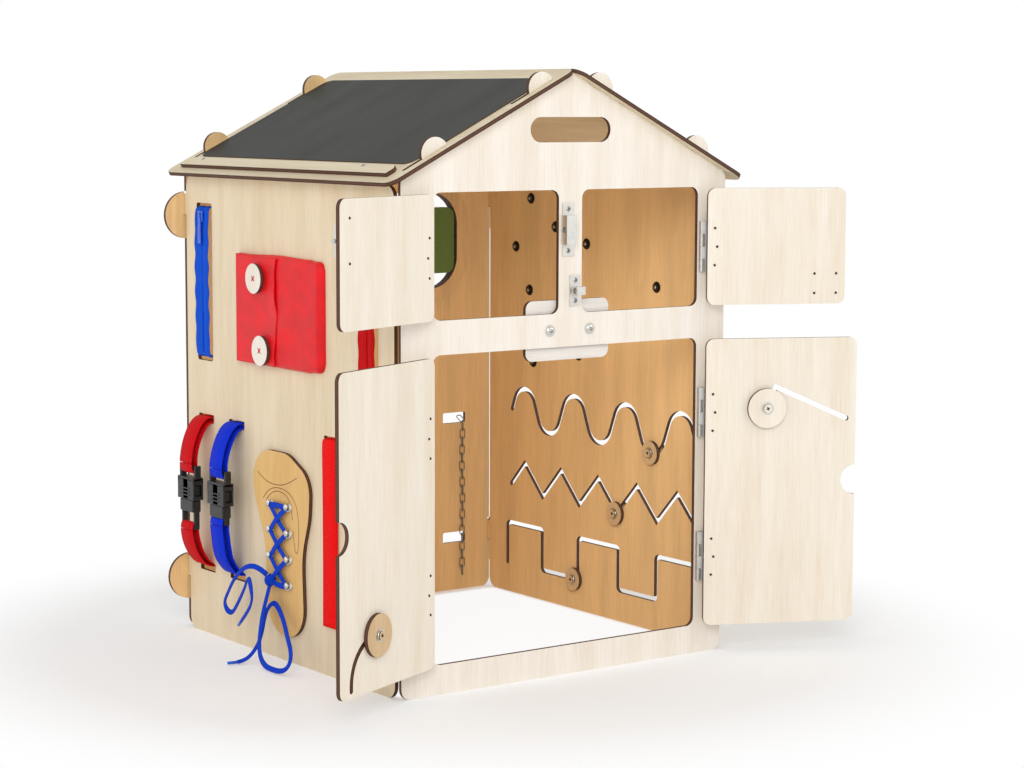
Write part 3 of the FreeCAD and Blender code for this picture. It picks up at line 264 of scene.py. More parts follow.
def ribbon(name, line, section, outward, finish, roll_at=None):
    """A mesh band along a line. Its flat side faces outward, and its UV map runs round it and along it."""
    mesh = bpy.data.meshes.new(name)
    form = bmesh.new()
    uv_layer = form.loops.layers.uv.new("UVMap")
    rings = []
    travelled = [0.0]
    for before, after in zip(line, line[1:]):
        travelled.append(travelled[-1] + (after - before).length)
    for index, place in enumerate(line):
        along = tangent(line, index)
        hint = Vector(outward(place, along)) if callable(outward) else Vector(outward)
        out = (hint - along * hint.dot(along)).normalized()
        across = along.cross(out)
        if roll_at:
            turn = Matrix.Rotation(roll_at(travelled[index] / travelled[-1]), 3, along)
            out = turn @ out
            across = turn @ across
        rings.append([form.verts.new(place + across * u + out * v) for u, v in section])
    count = len(section)
    round_length = [0.0]
    for index in range(count):
        first = Vector(section[index])
        second = Vector(section[(index + 1) % count])
        round_length.append(round_length[-1] + (second - first).length)
    for step, (lower, upper) in enumerate(zip(rings, rings[1:])):
        for index in range(count):
            following = (index + 1) % count
            face = form.faces.new((lower[index], lower[following], upper[following], upper[index]))
            face.smooth = True
            spans = (round_length[index], round_length[index + 1], round_length[index + 1],
                     round_length[index])
            heights = (travelled[step], travelled[step], travelled[step + 1], travelled[step + 1])
            for corner, across_uv, along_uv in zip(face.loops, spans, heights):
                corner[uv_layer].uv = (across_uv, along_uv)
    form.faces.new(rings[0][::-1])
    form.faces.new(rings[-1])
    bmesh.ops.recalc_face_normals(form, faces=form.faces)
    form.to_mesh(mesh)
    form.free()
    return show(name, mesh, finish)


def braid_finish(name, colour, shadow, pitch):
    """Braided polyester: rows of slanting stitches in a herringbone, seen in UV metres."""
    finish = Finish(name, roughness=0.75)
    across, along, _ = finish.parts(finish.coordinate("UV"))
    slant = along / pitch + abs((across / (pitch * 2)).fraction() - 0.5) * 2
    stitch = abs(slant.fraction() - 0.5) * 2
    column = abs((across / pitch).fraction() - 0.5) * 2
    weave = stitch * 0.7 + column * 0.3
    cloth = finish.noise(finish.coordinate("Object"), 900, 2)
    finish.set("Base Color", finish.mix((weave * 0.75 + cloth * 0.35).rise(0.15, 0.8), shadow, colour))
    finish.set("Specular IOR Level", 0.2)
    finish.bump(weave, 0.0003, 0.7)
    return finish


blue_lace = braid_finish("blue_lace_braid", paint(0, 70, 220), paint(0, 34, 140), 0.0011)
lace_width = 0.0054
lace_section = flat_ring(lace_width, 0.0015, 0.6)
lace_left_route = [
    (-0.2085, 0.222, 0.086), (-0.213, 0.231, 0.093), (-0.219, 0.243, 0.093), (-0.221, 0.258, 0.083),
    (-0.220, 0.272, 0.071), (-0.218, 0.284, 0.059), (-0.217, 0.294, 0.048), (-0.216, 0.291, 0.039),
    (-0.215, 0.2815, 0.037), (-0.2155, 0.271, 0.047), (-0.217, 0.259, 0.059), (-0.220, 0.246, 0.0705),
    (-0.224, 0.234, 0.081), (-0.228, 0.223, 0.0835), (-0.2305, 0.2155, 0.076), (-0.229, 0.216, 0.065),
    (-0.226, 0.225, 0.055), (-0.223, 0.240, 0.0435), (-0.220, 0.254, 0.0345),
]
lace_right_route = [
    (-0.212, 0.211, 0.076), (-0.219, 0.207, 0.062), (-0.226, 0.203, 0.045), (-0.231, 0.199, 0.027),
    (-0.235, 0.192, 0.013), (-0.237, 0.179, 0.005), (-0.237, 0.164, 0.004), (-0.236, 0.150, 0.0045),
    (-0.2345, 0.1405, 0.0085), (-0.232, 0.1365, 0.0175), (-0.229, 0.142, 0.027), (-0.223, 0.157, 0.033),
    (-0.217, 0.171, 0.039), (-0.212, 0.184, 0.0465), (-0.2095, 0.196, 0.055), (-0.209, 0.207, 0.061),
    (-0.211, 0.216, 0.054), (-0.214, 0.218, 0.043), (-0.218, 0.215, 0.032), (-0.224, 0.212, 0.020),
    (-0.231, 0.213, 0.010), (-0.238, 0.215, 0.004), (-0.246, 0.217, 0.0026),
]


def lace_outward(place, along):
    """The lace shows its flat side, always turned the same way."""
    return -1, 0, 0.45


# The lace's tips are shrunk tubes of clear film over the braid, on the last 9 mm of each end.

lace_tip = Finish("blue_lace_tip", roughness=0.25)
tip_ribs = lace_tip.parts(lace_tip.coordinate("Object"))[1]
lace_tip.set("Base Color", lace_tip.mix(abs((tip_ribs * 900).sine()), paint(10, 60, 160),
                                        paint(30, 100, 220)))
for slot in nodes["aglets"].material_slots:
    slot.material = lace_tip.material
cords = (
    ("lace_strand_left", lace_left_route, 0.2577),
    ("lace_strand_right", lace_right_route, 0.298),
)
for name, route, length in cords:
    line = smooth_line(route)
    strand = ribbon("bow_" + name, line, lace_section, lace_outward, blue_lace)
    dress(strand, "house", "blue_lace", name)

# Pull chain
# Oval links of bent steel wire, hung through the upper slot of the back wall and left free below.


class Pattern(Nodes):
    """A Geometry Nodes tree with named inputs for its sizes."""

    def __init__(self, name, sizes):
        super().__init__(bpy.data.node_groups.new(name, "GeometryNodeTree"))
        face = self.tree.interface
        face.new_socket("Geometry", in_out="INPUT", socket_type="NodeSocketGeometry")
        self.keys = {}
        for label in sizes:
            kind = "NodeSocketInt" if isinstance(sizes[label], int) else "NodeSocketFloat"
            socket = face.new_socket(label, in_out="INPUT", socket_type=kind)
            self.keys[label] = socket.identifier
        face.new_socket("Geometry", in_out="OUTPUT", socket_type="NodeSocketGeometry")
        self.sizes = sizes
        self.inlet = self.tree.nodes.new("NodeGroupInput")

    def given(self, label):
        return Term(self, self.inlet.outputs[label])

    def moved(self, geometry, shift=(0, 0, 0), turn=(0, 0, 0), stretch=(1, 1, 1)):
        sockets = {"Geometry": geometry, "Translation": shift, "Rotation": turn, "Scale": stretch}
        return self.add("GeometryNodeTransform", {}, sockets)

    def attribute(self, name, kind):
        return self.add("GeometryNodeInputNamedAttribute", {"data_type": kind}, {"Name": name})

    def on_points(self, shape, finish, smooth=False):
        """This shape on every point, its z axis along the point's facing, made real and given its finish."""
        facing = self.attribute("facing", "FLOAT_VECTOR")
        turn = self.add("FunctionNodeAlignRotationToVector", {"axis": "Z"}, {"Vector": facing})
        copies = self.add("GeometryNodeInstanceOnPoints", {}, {"Points": self.given("Geometry"),
                                                               "Instance": shape,
                                                               "Rotation": turn})
        return self.finished(copies, finish, smooth)

    def finished(self, copies, finish, smooth=False):
        real = self.add("GeometryNodeRealizeInstances", {}, {"Geometry": copies})
        shaded = self.add("GeometryNodeSetShadeSmooth", {}, {"Geometry": real, "Shade Smooth": smooth})
        return self.add("GeometryNodeSetMaterial", {}, {"Geometry": shaded, "Material": finish.material})

    def close(self, *branches):
        join = self.tree.nodes.new("GeometryNodeJoinGeometry")
        for branch in branches:
            self.tree.links.new(branch.socket, join.inputs[0])
        outlet = self.tree.nodes.new("NodeGroupOutput")
        self.tree.links.new(join.outputs[0], outlet.inputs[0])
        return self


def grown(name, start, pattern, body):
    """One plain mesh that a pattern makes on a start mesh. It rides on its body."""
    thing = show(name, start)
    modifier = thing.modifiers.new("pattern", "NODES")
    modifier.node_group = pattern.tree
    for label, value in pattern.sizes.items():
        modifier[pattern.keys[label]] = value
    graph = bpy.context.evaluated_depsgraph_get()
    mesh = bpy.data.meshes.new_from_object(thing.evaluated_get(graph), depsgraph=graph)
    thing.modifiers.remove(modifier)
    thing.data = mesh
    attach(thing, body)
    return thing


def metal(name, colour, roughness, wear=0.08):
    """Bare or plated metal with a finely uneven polish."""
    finish = Finish(name, metallic=1.0)
    place = finish.coordinate("Object")
    blotch = finish.noise(place, 160, 3)
    finish.set("Base Color", finish.mix(blotch, colour, tuple(shade * 0.72 for shade in colour)))
    finish.set("Roughness", blotch * wear * 2 + roughness)
    finish.bump(finish.noise(place, 1400, 2), 0.00005, 0.4)
    return finish


def line_mesh(name, line):
    mesh = bpy.data.meshes.new(name)
    mesh.from_pydata(line, [(index, index + 1) for index in range(len(line) - 1)], [])
    return mesh


chain_steel = metal("chain_steel", paint(150, 146, 138), 0.32)
chain = Pattern("chain_links", {"Link pitch": 0.0092, "Link length": 0.0118, "Link width": 0.0052,
                                "Wire radius": 0.0006})
route_curve = chain.add("GeometryNodeMeshToCurve", {}, {"Mesh": chain.given("Geometry")})
middle_run = chain.add("GeometryNodeTrimCurve", {"mode": "FACTOR"}, {0: route_curve, 2: 0.03, 3: 0.97})
link_points = chain.add("GeometryNodeCurveToPoints", {"mode": "LENGTH"},
                        {"Curve": middle_run, "Length": chain.given("Link pitch")})
link_turn = Term(chain, link_points.socket.node.outputs["Rotation"])
link_index = chain.add("GeometryNodeInputIndex", {}, {})
quarter = chain.add("FunctionNodeAxisAngleToRotation", {}, {"Axis": (0, 0, 1),
                                                            "Angle": link_index * (math.pi / 2) + 0.4})
link_turn = chain.add("FunctionNodeRotateRotation", {"rotation_space": "LOCAL"},
                      {"Rotation": link_turn, "Rotate By": quarter})
link_shape = chain.add("GeometryNodeCurvePrimitiveQuadrilateral", {},
                       {"Width": chain.given("Link width"), "Height": chain.given("Link length")})
link_shape = chain.add("GeometryNodeFilletCurve", {"mode": "POLY"},
                       {"Curve": link_shape, "Count": 5, "Radius": chain.given("Link width") * 0.48})
wire = chain.add("GeometryNodeCurvePrimitiveCircle", {}, {"Resolution": 8,
                                                          "Radius": chain.given("Wire radius")})
link_body = chain.add("GeometryNodeCurveToMesh", {}, {"Curve": link_shape, "Profile Curve": wire})
link_body = chain.moved(link_body, turn=(math.pi / 2, 0, 0))
links = chain.add("GeometryNodeInstanceOnPoints", {}, {"Points": link_points, "Instance": link_body,
                                                       "Rotation": link_turn})
chain.close(chain.finished(links, chain_steel, True))
chain_route = [
    (0.155, 0.412, 0.199), (0.155, 0.403, 0.198), (0.1554, 0.4024, 0.185), (0.1544, 0.403, 0.155),
    (0.1555, 0.4025, 0.107), (0.1545, 0.4028, 0.059), (0.155, 0.4026, 0.017),
]
chain_line = smooth_line(chain_route)
chain_piece = grown("pull_chain_links", line_mesh("chain_line", chain_line), chain, "house")
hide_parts("pull_chain")

# Plywood shell
# Laser-cut birch plywood, 4 mm thick: pale veneers with a fine upright grain, edges burnt brown
# with the middle ply showing. The walls, gables and roof hook into each other without glue.


def plywood(name, outward, grain, middle, pale, dark, inner=None, thickness=0.004):
    """Ply whose outer face looks outward, whose grain runs along grain, with its mid-plane through middle."""
    finish = Finish(name, roughness=0.6)
    outward = Vector(outward).normalized()
    grain = Vector(grain).normalized()
    beside = outward.cross(grain)
    place = finish.coordinate("Object")
    normal = finish.coordinate("Normal")
    along = finish.dot(place, tuple(grain))
    side = finish.dot(place, tuple(beside))
    depth = finish.dot(place, tuple(outward)) - Vector(middle).dot(outward)
    facing = finish.dot(normal, tuple(outward))
    edge = 1 - abs(facing).rise(0.4, 0.6)
    half = depth.rise(-0.0005, 0.0005)
    sway = finish.noise(finish.vector(along * 5, side * 9, half * 7), 1, 2)
    figure = finish.noise(finish.vector(along * 3, (side + sway * 0.02) * 38, half * 40), 1, 4, 0.6)
    fibre = finish.noise(finish.vector(along * 26, side * 620, half * 90), 1, 3, 0.6)
    fleck = finish.noise(finish.vector(along * 240, side * 1500, half * 31), 1, 1).rise(0.68, 0.76)
    streak = figure.rise(0.3, 0.75) * 0.55 + fibre.rise(0.3, 0.75) * 0.38 + fleck * 0.4
    face = finish.mix(streak, pale, dark)
    # Painted light: faces that look into the house take a warmer, darker colour, a painted stand-in for the
    # warm bounce light and shade inside the house.
    if inner:
        inside = (0 - facing).rise(0.4, 0.6)
        bounce_lit_face = finish.mix(streak, inner, tuple(shade * 0.72 for shade in inner))
        face = finish.mix(inside, face, bounce_lit_face)
    char = finish.noise(finish.vector(along * 700, side * 700, depth * 260), 1, 3, 0.65)
    burnt = finish.mix(char, paint(32, 20, 14), paint(84, 52, 34))
    core = 1 - abs(depth).rise(thickness * 0.15, thickness * 0.21)
    burnt = finish.mix(core * 0.6, burnt, finish.mix(char, paint(70, 38, 22), paint(132, 82, 52)))
    finish.set("Base Color", finish.mix(edge, face, burnt))
    finish.set("Roughness", edge * 0.25 + 0.5 + streak * 0.08)
    finish.bump(fibre * (1 - edge) + char * edge, 0.00012, 0.35)
    return finish


def cover(node, finish):
    """Gives a CAD piece its finish."""
    for slot in nodes[node].material_slots:
        slot.material = finish.material


pale_birch = paint(242, 235, 226)
grey_birch = paint(224, 211, 192)
wall_birch = paint(234, 217, 188)
wall_streak = paint(214, 191, 154)
roof_birch = paint(226, 214, 184)
roof_streak = paint(200, 180, 146)
# Painted light: the warm colour that the walls' inside faces take stands for the house's warm bounce light and
# shade.
indoor_bounce_birch = paint(240, 200, 142)
house_depth = 0.408
wall_x = 0.195
roof_pitch = math.radians(26.5)
eave = Vector((-wall_x, 0, 0.4873))
slope = Vector((math.cos(roof_pitch), 0, math.sin(roof_pitch)))
slope_up = Vector((-math.sin(roof_pitch), 0, math.cos(roof_pitch)))
ply = 0.004
front_ply = plywood("front_birch", (0, -1, 0), (0, 0, 1), (0, 0, 0), pale_birch, grey_birch, indoor_bounce_birch)
back_ply = plywood("back_birch", (0, 1, 0), (0, 0, 1), (0, house_depth, 0), pale_birch, grey_birch,
                   indoor_bounce_birch)
left_ply = plywood("left_birch", (-1, 0, 0), (0, 0, 1), (-wall_x, 0, 0), wall_birch, wall_streak, indoor_bounce_birch)
right_ply = plywood("right_birch", (1, 0, 0), (0, 0, 1), (wall_x, 0, 0), wall_birch, wall_streak, indoor_bounce_birch)
cover("front_panel", front_ply)
cover("back_panel", back_ply)
cover("left_panel", left_ply)
cover("right_panel", right_ply)
roof_ply = plywood("roof_left_birch", slope_up, (0, 1, 0), eave + slope_up * ply / 2, roof_birch, roof_streak)
right_eave = Vector((wall_x, 0, eave.z))
right_up = Vector((-slope_up.x, 0, slope_up.z))
roof_right_ply = plywood("roof_right_birch", right_up, (0, 1, 0), right_eave + right_up * ply / 2,
                         roof_birch, roof_streak)
cover("roof_left", roof_ply)
cover("roof_right", roof_right_ply)
cover("door_stop_plate", plywood("stop_birch", (0, 1, 0), (1, 0, 0), (0, ply, 0), pale_birch, grey_birch,
                                 pale_birch))

# Doors
# Four plywood doors with rounded corners, hung open on their hinges. The faces that show are
# the ones that look into the house when a door is shut.

pin = Vector((0.1629, -0.0045, 0))
door_turns = {"upper_left": -159, "upper_right": 155, "lower_left": -156, "lower_right": 155}


def swung(door, way):
    """How a direction of the shut door points while it stands open."""
    return Matrix.Rotation(math.radians(door_turns[door]), 3, "Z") @ Vector(way)


def opened(door, place):
    """Where a point of the shut door is while it stands open."""
    side = -1 if door.endswith("left") else 1
    hinge_line = Vector((side * pin.x, pin.y, 0))
    return hinge_line + swung(door, Vector(place) - hinge_line)


door_birch = paint(240, 232, 219)
door_streak = paint(223, 207, 182)
for door in door_turns:
    finish = plywood(door + "_birch", swung(door, (0, -1, 0)), (0, 0, 1), opened(door, (0, 0, 0)), door_birch,
                     door_streak)
    cover("door_" + door, finish)

# Hinges and their screws
# Zinc-plated steel butt hinges, each leaf held by three cross-head screws. The screws are longer
# than the door is thick, so their dark points show on its other face.


def spots(name, rows):
    """Points to put small parts on. Each row is a place and the way that it faces."""
    mesh = bpy.data.meshes.new(name)
    mesh.from_pydata([row[0] for row in rows], [], [])
    facing = mesh.attributes.new("facing", "FLOAT_VECTOR", "POINT")
    for item, row in zip(facing.data, rows):
        item.vector = row[1]
    return mesh


def cross_screw(name, radius, rise, finish, recess):
    """A flat screw head with a cross cut in it."""
    screw = Pattern(name, {"Head radius": radius, "Head rise": rise})
    wide = screw.given("Head radius")
    high = screw.given("Head rise")
    head = screw.add("GeometryNodeMeshCone", {}, {"Vertices": 16, "Radius Top": wide * 0.7,
                                                  "Radius Bottom": wide,
                                                  "Depth": high})
    branches = [screw.on_points(head, finish)]
    for first, second in ((1.1, 0.24), (0.24, 1.1)):
        size = screw.vector(wide * first, wide * second, high * 0.3)
        cut = screw.add("GeometryNodeMeshCube", {}, {"Size": size})
        cut = screw.moved(cut, shift=screw.vector(0, 0, high * 0.87))
        branches.append(screw.on_points(cut, recess))
    return screw.close(*branches)


zinc = metal("zinc_plate", paint(205, 204, 200), 0.34)
screw_steel = metal("screw_steel", paint(176, 174, 168), 0.3)
dark_steel = metal("dark_steel", paint(74, 68, 62), 0.42)
recess_black = metal("screw_recess", paint(30, 28, 26), 0.6)
wood_screw = cross_screw("wood_screw", 0.0026, 0.0007, screw_steel, recess_black)
screw_point = Pattern("screw_point", {"Point radius": 0.0015, "Point rise": 0.0012})
point_shape = screw_point.add("GeometryNodeMeshCone", {}, {
    "Vertices": 10, "Radius Top": screw_point.given("Point radius") * 0.35,
    "Radius Bottom": screw_point.given("Point radius"), "Depth": screw_point.given("Point rise")})
screw_point.close(screw_point.on_points(point_shape, dark_steel, True))

hinge_heights = {"upper": (0.41375,), "lower": (0.247, 0.1)}
screw_spacing = 0.0185
leaf_face = -0.003
fixed_rows = []
for door in door_turns:
    side = -1 if door.endswith("left") else 1
    heads = []
    tips = []
    for height in hinge_heights[door[:5]]:
        for step, reach in ((-1, 0.012), (0, 0.0144), (1, 0.012)):
            z = height + step * screw_spacing
            fixed_rows.append(((side * (pin.x + reach), leaf_face, z), (0, -1, 0)))
            on_door = side * (pin.x - reach)
            heads.append((opened(door, (on_door, leaf_face, z)), swung(door, (0, -1, 0))))
            tips.append((opened(door, (on_door, 0.0019, z)), swung(door, (0, 1, 0))))
    if door == "upper_right":
        for across in (-0.01135, 0.01135):
            for rise in (-0.0098, 0.0098):
                place = (0.0354 + across, -0.0032, 0.3761 + rise)
                heads.append((opened(door, place), swung(door, (0, -1, 0))))
                tips.append((opened(door, (place[0], 0.0019, place[2])), swung(door, (0, 1, 0))))
    if door == "upper_left":
        for z in (0.415, 0.455):
            heads.append((opened(door, (-0.0294, -0.0032, z)), swung(door, (0, -1, 0))))
            tips.append((opened(door, (-0.0294, 0.0019, z)), swung(door, (0, 1, 0))))
    door_screws = grown(door + "_screws", spots(door + "_screw_places", heads), wood_screw, door + "_door")
    door_points = grown(door + "_screw_points", spots(door + "_point_places", tips), screw_point,
                        door + "_door")
    cover("hinge_" + door, zinc)
cover("hinge_fixed_leaves", zinc)
for x, z in ((0.0056, 0.3663), (0.0056, 0.3862), (-0.0033, 0.4147), (-0.0033, 0.4548)):
    fixed_rows.append(((x, -0.0032, z), (0, -1, 0)))
for y in (0.063, 0.370):
    fixed_rows.append((eave + slope * 0.0055 + slope_up * 0.0079 + Vector((0, y, 0)), slope_up))
panel_screws = grown("panel_screws", spots("panel_screw_places", fixed_rows), wood_screw, "house")

# Latches and keepers
# A slide latch on the upper left door and a barrel bolt on the upper right one, of pressed and
# nickel-plated steel, with two folded steel keepers on the post between the windows.

nickel = metal("nickel_plate", paint(222, 220, 214), 0.25)
keeper_steel = metal("keeper_steel", paint(226, 224, 218), 0.38)
cover("latch_housing", nickel)
cover("latch_rod", zinc)
cover("barrel_bolt_housing", nickel)
cover("barrel_bolt_rod", zinc)
cover("bolt_keepers", keeper_steel)

# Knobs
# Plywood discs on both sides of their slots, held on one bolt with a shining round head. Two ride
# in slots of the lower doors and three in the wavy, zigzag and square slots of the right wall.


def pan_screw(name, radius, rise, finish, recess):
    """A domed bolt head over a thin washer, with a cross cut in it."""
    screw = Pattern(name, {"Head radius": radius, "Head rise": rise})
    wide = screw.given("Head radius")
    high = screw.given("Head rise")
    washer = screw.add("GeometryNodeMeshCylinder", {}, {"Vertices": 20, "Radius": wide * 1.35,
                                                        "Depth": high * 0.3})
    washer = screw.moved(washer, shift=screw.vector(0, 0, high * 0.15))
    dome = screw.add("GeometryNodeMeshUVSphere", {}, {"Segments": 16, "Rings": 8, "Radius": wide})
    dome = screw.moved(dome, shift=screw.vector(0, 0, high * 0.25),
                       stretch=screw.vector(1, 1, high * 0.75 / wide))
    branches = [screw.on_points(washer, finish), screw.on_points(dome, finish, True)]
    for first, second in ((0.9, 0.2), (0.2, 0.9)):
        cut = screw.add("GeometryNodeMeshCube", {}, {"Size": screw.vector(wide * first, wide * second,
                                                                          high * 0.3)})
        branches.append(screw.on_points(screw.moved(cut, shift=screw.vector(0, 0, high * 0.9)), recess))
    return screw.close(*branches)


def hex_nut(name, radius, rise, finish, thread):
    """A six-sided nut on a washer, with the bolt's threaded end in it."""
    nut = Pattern(name, {"Nut radius": radius, "Nut rise": rise})
    wide = nut.given("Nut radius")
    high = nut.given("Nut rise")
    washer = nut.add("GeometryNodeMeshCylinder", {}, {"Vertices": 20, "Radius": wide * 1.3,
                                                      "Depth": high * 0.24})
    washer = nut.moved(washer, shift=nut.vector(0, 0, high * 0.12))
    body = nut.add("GeometryNodeMeshCone", {}, {"Vertices": 6, "Radius Top": wide * 0.93,
                                                "Radius Bottom": wide,
                                                "Depth": high})
    end = nut.add("GeometryNodeMeshCone", {}, {"Vertices": 14, "Radius Top": wide * 0.42,
                                               "Radius Bottom": wide * 0.52, "Depth": high * 1.15})
    return nut.close(nut.on_points(washer, finish), nut.on_points(body, finish),
                     nut.on_points(end, thread, True))


knob_head = pan_screw("knob_head", 0.0046, 0.0027, nickel, recess_black)
knob_nut = hex_nut("knob_nut", 0.0045, 0.0026, zinc, dark_steel)
knob_birch = paint(214, 184, 142)
knob_streak = paint(186, 150, 106)
for door, place, node in (("lower_left", (-0.0584, 0, 0.08), "knob_lower_left"),
                          ("lower_right", (0.0951, 0, 0.2505), "knob_lower_right")):
    middle = opened(door, (0, 0.0043, 0))
    pale = knob_birch if door == "lower_left" else door_birch
    streak = knob_streak if door == "lower_left" else door_streak
    cover(node, plywood(node + "_birch", swung(door, (0, 1, 0)), (0, 0, 1), middle, pale, streak))
    inner = Vector(place) + Vector((0, 0.0062, 0))
    outer = Vector(place) - Vector((0, 0.0062, 0))
    head_rows = [(opened(door, inner), swung(door, (0, 1, 0)))]
    nut_rows = [(opened(door, outer), swung(door, (0, -1, 0)))]
    for kind, rows, pattern in (("_head", head_rows, knob_head), ("_nut", nut_rows, knob_nut)):
        fastener = grown(node + kind, spots(node + kind + "_place", rows), pattern, node + "_body")
for node, y, z in (("maze_knob_sine", 0.1067, 0.1902), ("maze_knob_zigzag", 0.166, 0.1175),
                   ("maze_knob_square", 0.239, 0.034)):
    cover(node, plywood(node + "_birch", (-1, 0, 0), (0, 0, 1), (0.1907, 0, 0), knob_birch, knob_streak))
    for kind, row, pattern in (("_head", ((0.1888, y, z), (-1, 0, 0)), knob_head),
                               ("_nut", ((0.2012, y, z), (1, 0, 0)), knob_nut)):
        fastener = grown(node + kind, spots(node + kind + "_place", [row]), pattern, node + "_body")

# Wall bolts
# Steel bolts through the right wall, with dark nuts inside and domed heads outside, and two more
# that hold the stop plate behind the cross rail.

bolt_places = {
    "gear_front": (0.222, 0.4045), "gear_middle": (0.2782, 0.4206), "gear_top": (0.3233, 0.4504),
    "gear_large": (0.3514, 0.3957), "gear_low": (0.3257, 0.3482), "finger_wheel": (0.102, 0.365),
}
plain_places = [(0.318, 0.268), (0.235, 0.2825)]
wall_nut = hex_nut("wall_nut", 0.0046, 0.0028, dark_steel, screw_steel)
wall_head = pan_screw("wall_head", 0.0043, 0.0021, nickel, recess_black)
shank = Pattern("bolt_shank", {"Shank radius": 0.0019, "Shank length": 0.0118})
shank_shape = shank.add("GeometryNodeMeshCylinder", {}, {"Vertices": 12,
                                                         "Radius": shank.given("Shank radius"),
                                                         "Depth": shank.given("Shank length")})
shank_shape = shank.moved(shank_shape, shift=shank.vector(0, 0, shank.given("Shank length") * 0.5))
shank.close(shank.on_points(shank_shape, screw_steel, True))
wall_inner = 0.193
wall_outer = 0.197
wheel_front = 0.2016
nut_rows = []
head_rows = []
shank_rows = []
for y, z in list(bolt_places.values()) + plain_places:
    carries_wheel = (y, z) not in plain_places
    nut_rows.append(((wall_inner, y, z), (-1, 0, 0)))
    head_rows.append(((wheel_front if carries_wheel else wall_outer, y, z), (1, 0, 0)))
    if carries_wheel:
        shank_rows.append(((wall_inner - 0.002, y, z), (1, 0, 0)))
for x in (-0.024, 0.024):
    head_rows.append(((x, -0.002, 0.3383), (0, -1, 0)))
    nut_rows.append(((x, 0.006, 0.3383), (0, 1, 0)))
    shank_rows.append(((x, 0.0075, 0.3383), (0, -1, 0)))
nuts = grown("wall_nuts", spots("wall_nut_places", nut_rows), wall_nut, "house")
heads = grown("wall_heads", spots("wall_head_places", head_rows), wall_head, "house")
shanks = grown("wall_shanks", spots("wall_shank_places", shank_rows), shank, "house")
for thing in (nuts, heads, shanks):
    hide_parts("wall_bolts")

# Gears and finger wheel
# Laser-cut plywood wheels turning on the wall bolts of the right wall's outer face.

for node in ("gear_front", "gear_middle", "gear_top", "gear_large", "gear_low", "finger_wheel"):
    cover(node, plywood(node + "_birch", (1, 0, 0), (0, 0.4, 1), (0.1993, 0, 0), wall_birch, wall_streak))

# Back window
# Two plywood rings round the opening, and a green painted panel that turns on a steel axle.

# Painted light: the frame's face looks into the house and takes the painted warm bounce light of the inside.
cover("window_frame", plywood("frame_birch", (0, -1, 0), (0, 0, 1), (0, 0.404, 0), indoor_bounce_birch, knob_streak))
green = Finish("green_paint_coat", roughness=0.5)
green_place = green.coordinate("Object")
green_y = green.parts(green_place)
green_grain = green.noise(green.vector(green_y[0] * 300, green_y[1] * 300, green_y[2] * 12), 1, 3)
green_blotch = green.noise(green_place, 14, 2)
green.set("Base Color", green.mix(green_grain * 0.6 + green_blotch * 0.4, paint(84, 114, 52),
                                  paint(104, 130, 68)))
green.set("Roughness", green_grain * 0.25 + 0.4)
green.bump(green_grain, 0.0002, 0.4)
cover("spin_panel", green)
cover("spin_panel_axle", zinc)

# Chalkboard
# A dark matt board of coated hardboard on the left slope, with faint smears of wiped chalk, and
# a plywood ledge screwed on below it.

board = Finish("chalk_coat", roughness=0.62)
board_place = board.coordinate("Object")
board_along = board.dot(board_place, tuple(slope))
board_across = board.parts(board_place)[1]
smear = board.noise(board.vector(board_along * 5, board_across * 14, 0), 1, 4, 0.6).rise(0.35, 0.8)
speck = board.noise(board_place, 900, 2)
board_top = board.dot(board.coordinate("Normal"), tuple(slope_up)).rise(0.5, 0.8)
board_shade = board.mix(smear * 0.5 + speck * 0.25, paint(30, 31, 27), paint(56, 58, 51))
board_edge = board.mix(speck, paint(60, 42, 30), paint(104, 74, 52))
board.set("Base Color", board.mix(board_top, board_edge, board_shade))
board.set("Roughness", smear * 0.14 + speck * 0.1 + 0.5)
board.set("Specular IOR Level", 0.25)
board.bump(speck, 0.00008, 0.4)
cover("chalkboard", board)
ledge_middle = eave + slope_up * 0.006
cover("chalk_ledge", plywood("ledge_birch", slope_up, (0, 1, 0), ledge_middle, roof_birch, roof_streak))

# Straps of the left wall
# Polyester webbing with fine cross ribs. Each strap comes out of its slot, bows away from the
# wall, wraps a bar of its buckle and goes back in. The hook-and-loop strap hangs from one slot.


def webbing(name, colour, shadow, rib):
    """Woven webbing: fine ribs across it and a firm edge, seen in UV metres."""
    finish = Finish(name, roughness=0.7)
    across, along, _ = finish.parts(finish.coordinate("UV"))
    ribs = abs((along / rib).fraction() - 0.5) * 2
    threads = abs((across / (rib * 0.7)).fraction() - 0.5) * 2
    cloth = finish.noise(finish.coordinate("Object"), 700, 3)
    depth = ribs * 0.6 + threads * 0.25 + cloth * 0.3
    finish.set("Base Color", finish.mix(depth.rise(0.15, 0.85), shadow, colour))
    finish.set("Specular IOR Level", 0.15)
    finish.bump(depth, 0.0004, 0.7)
    return finish


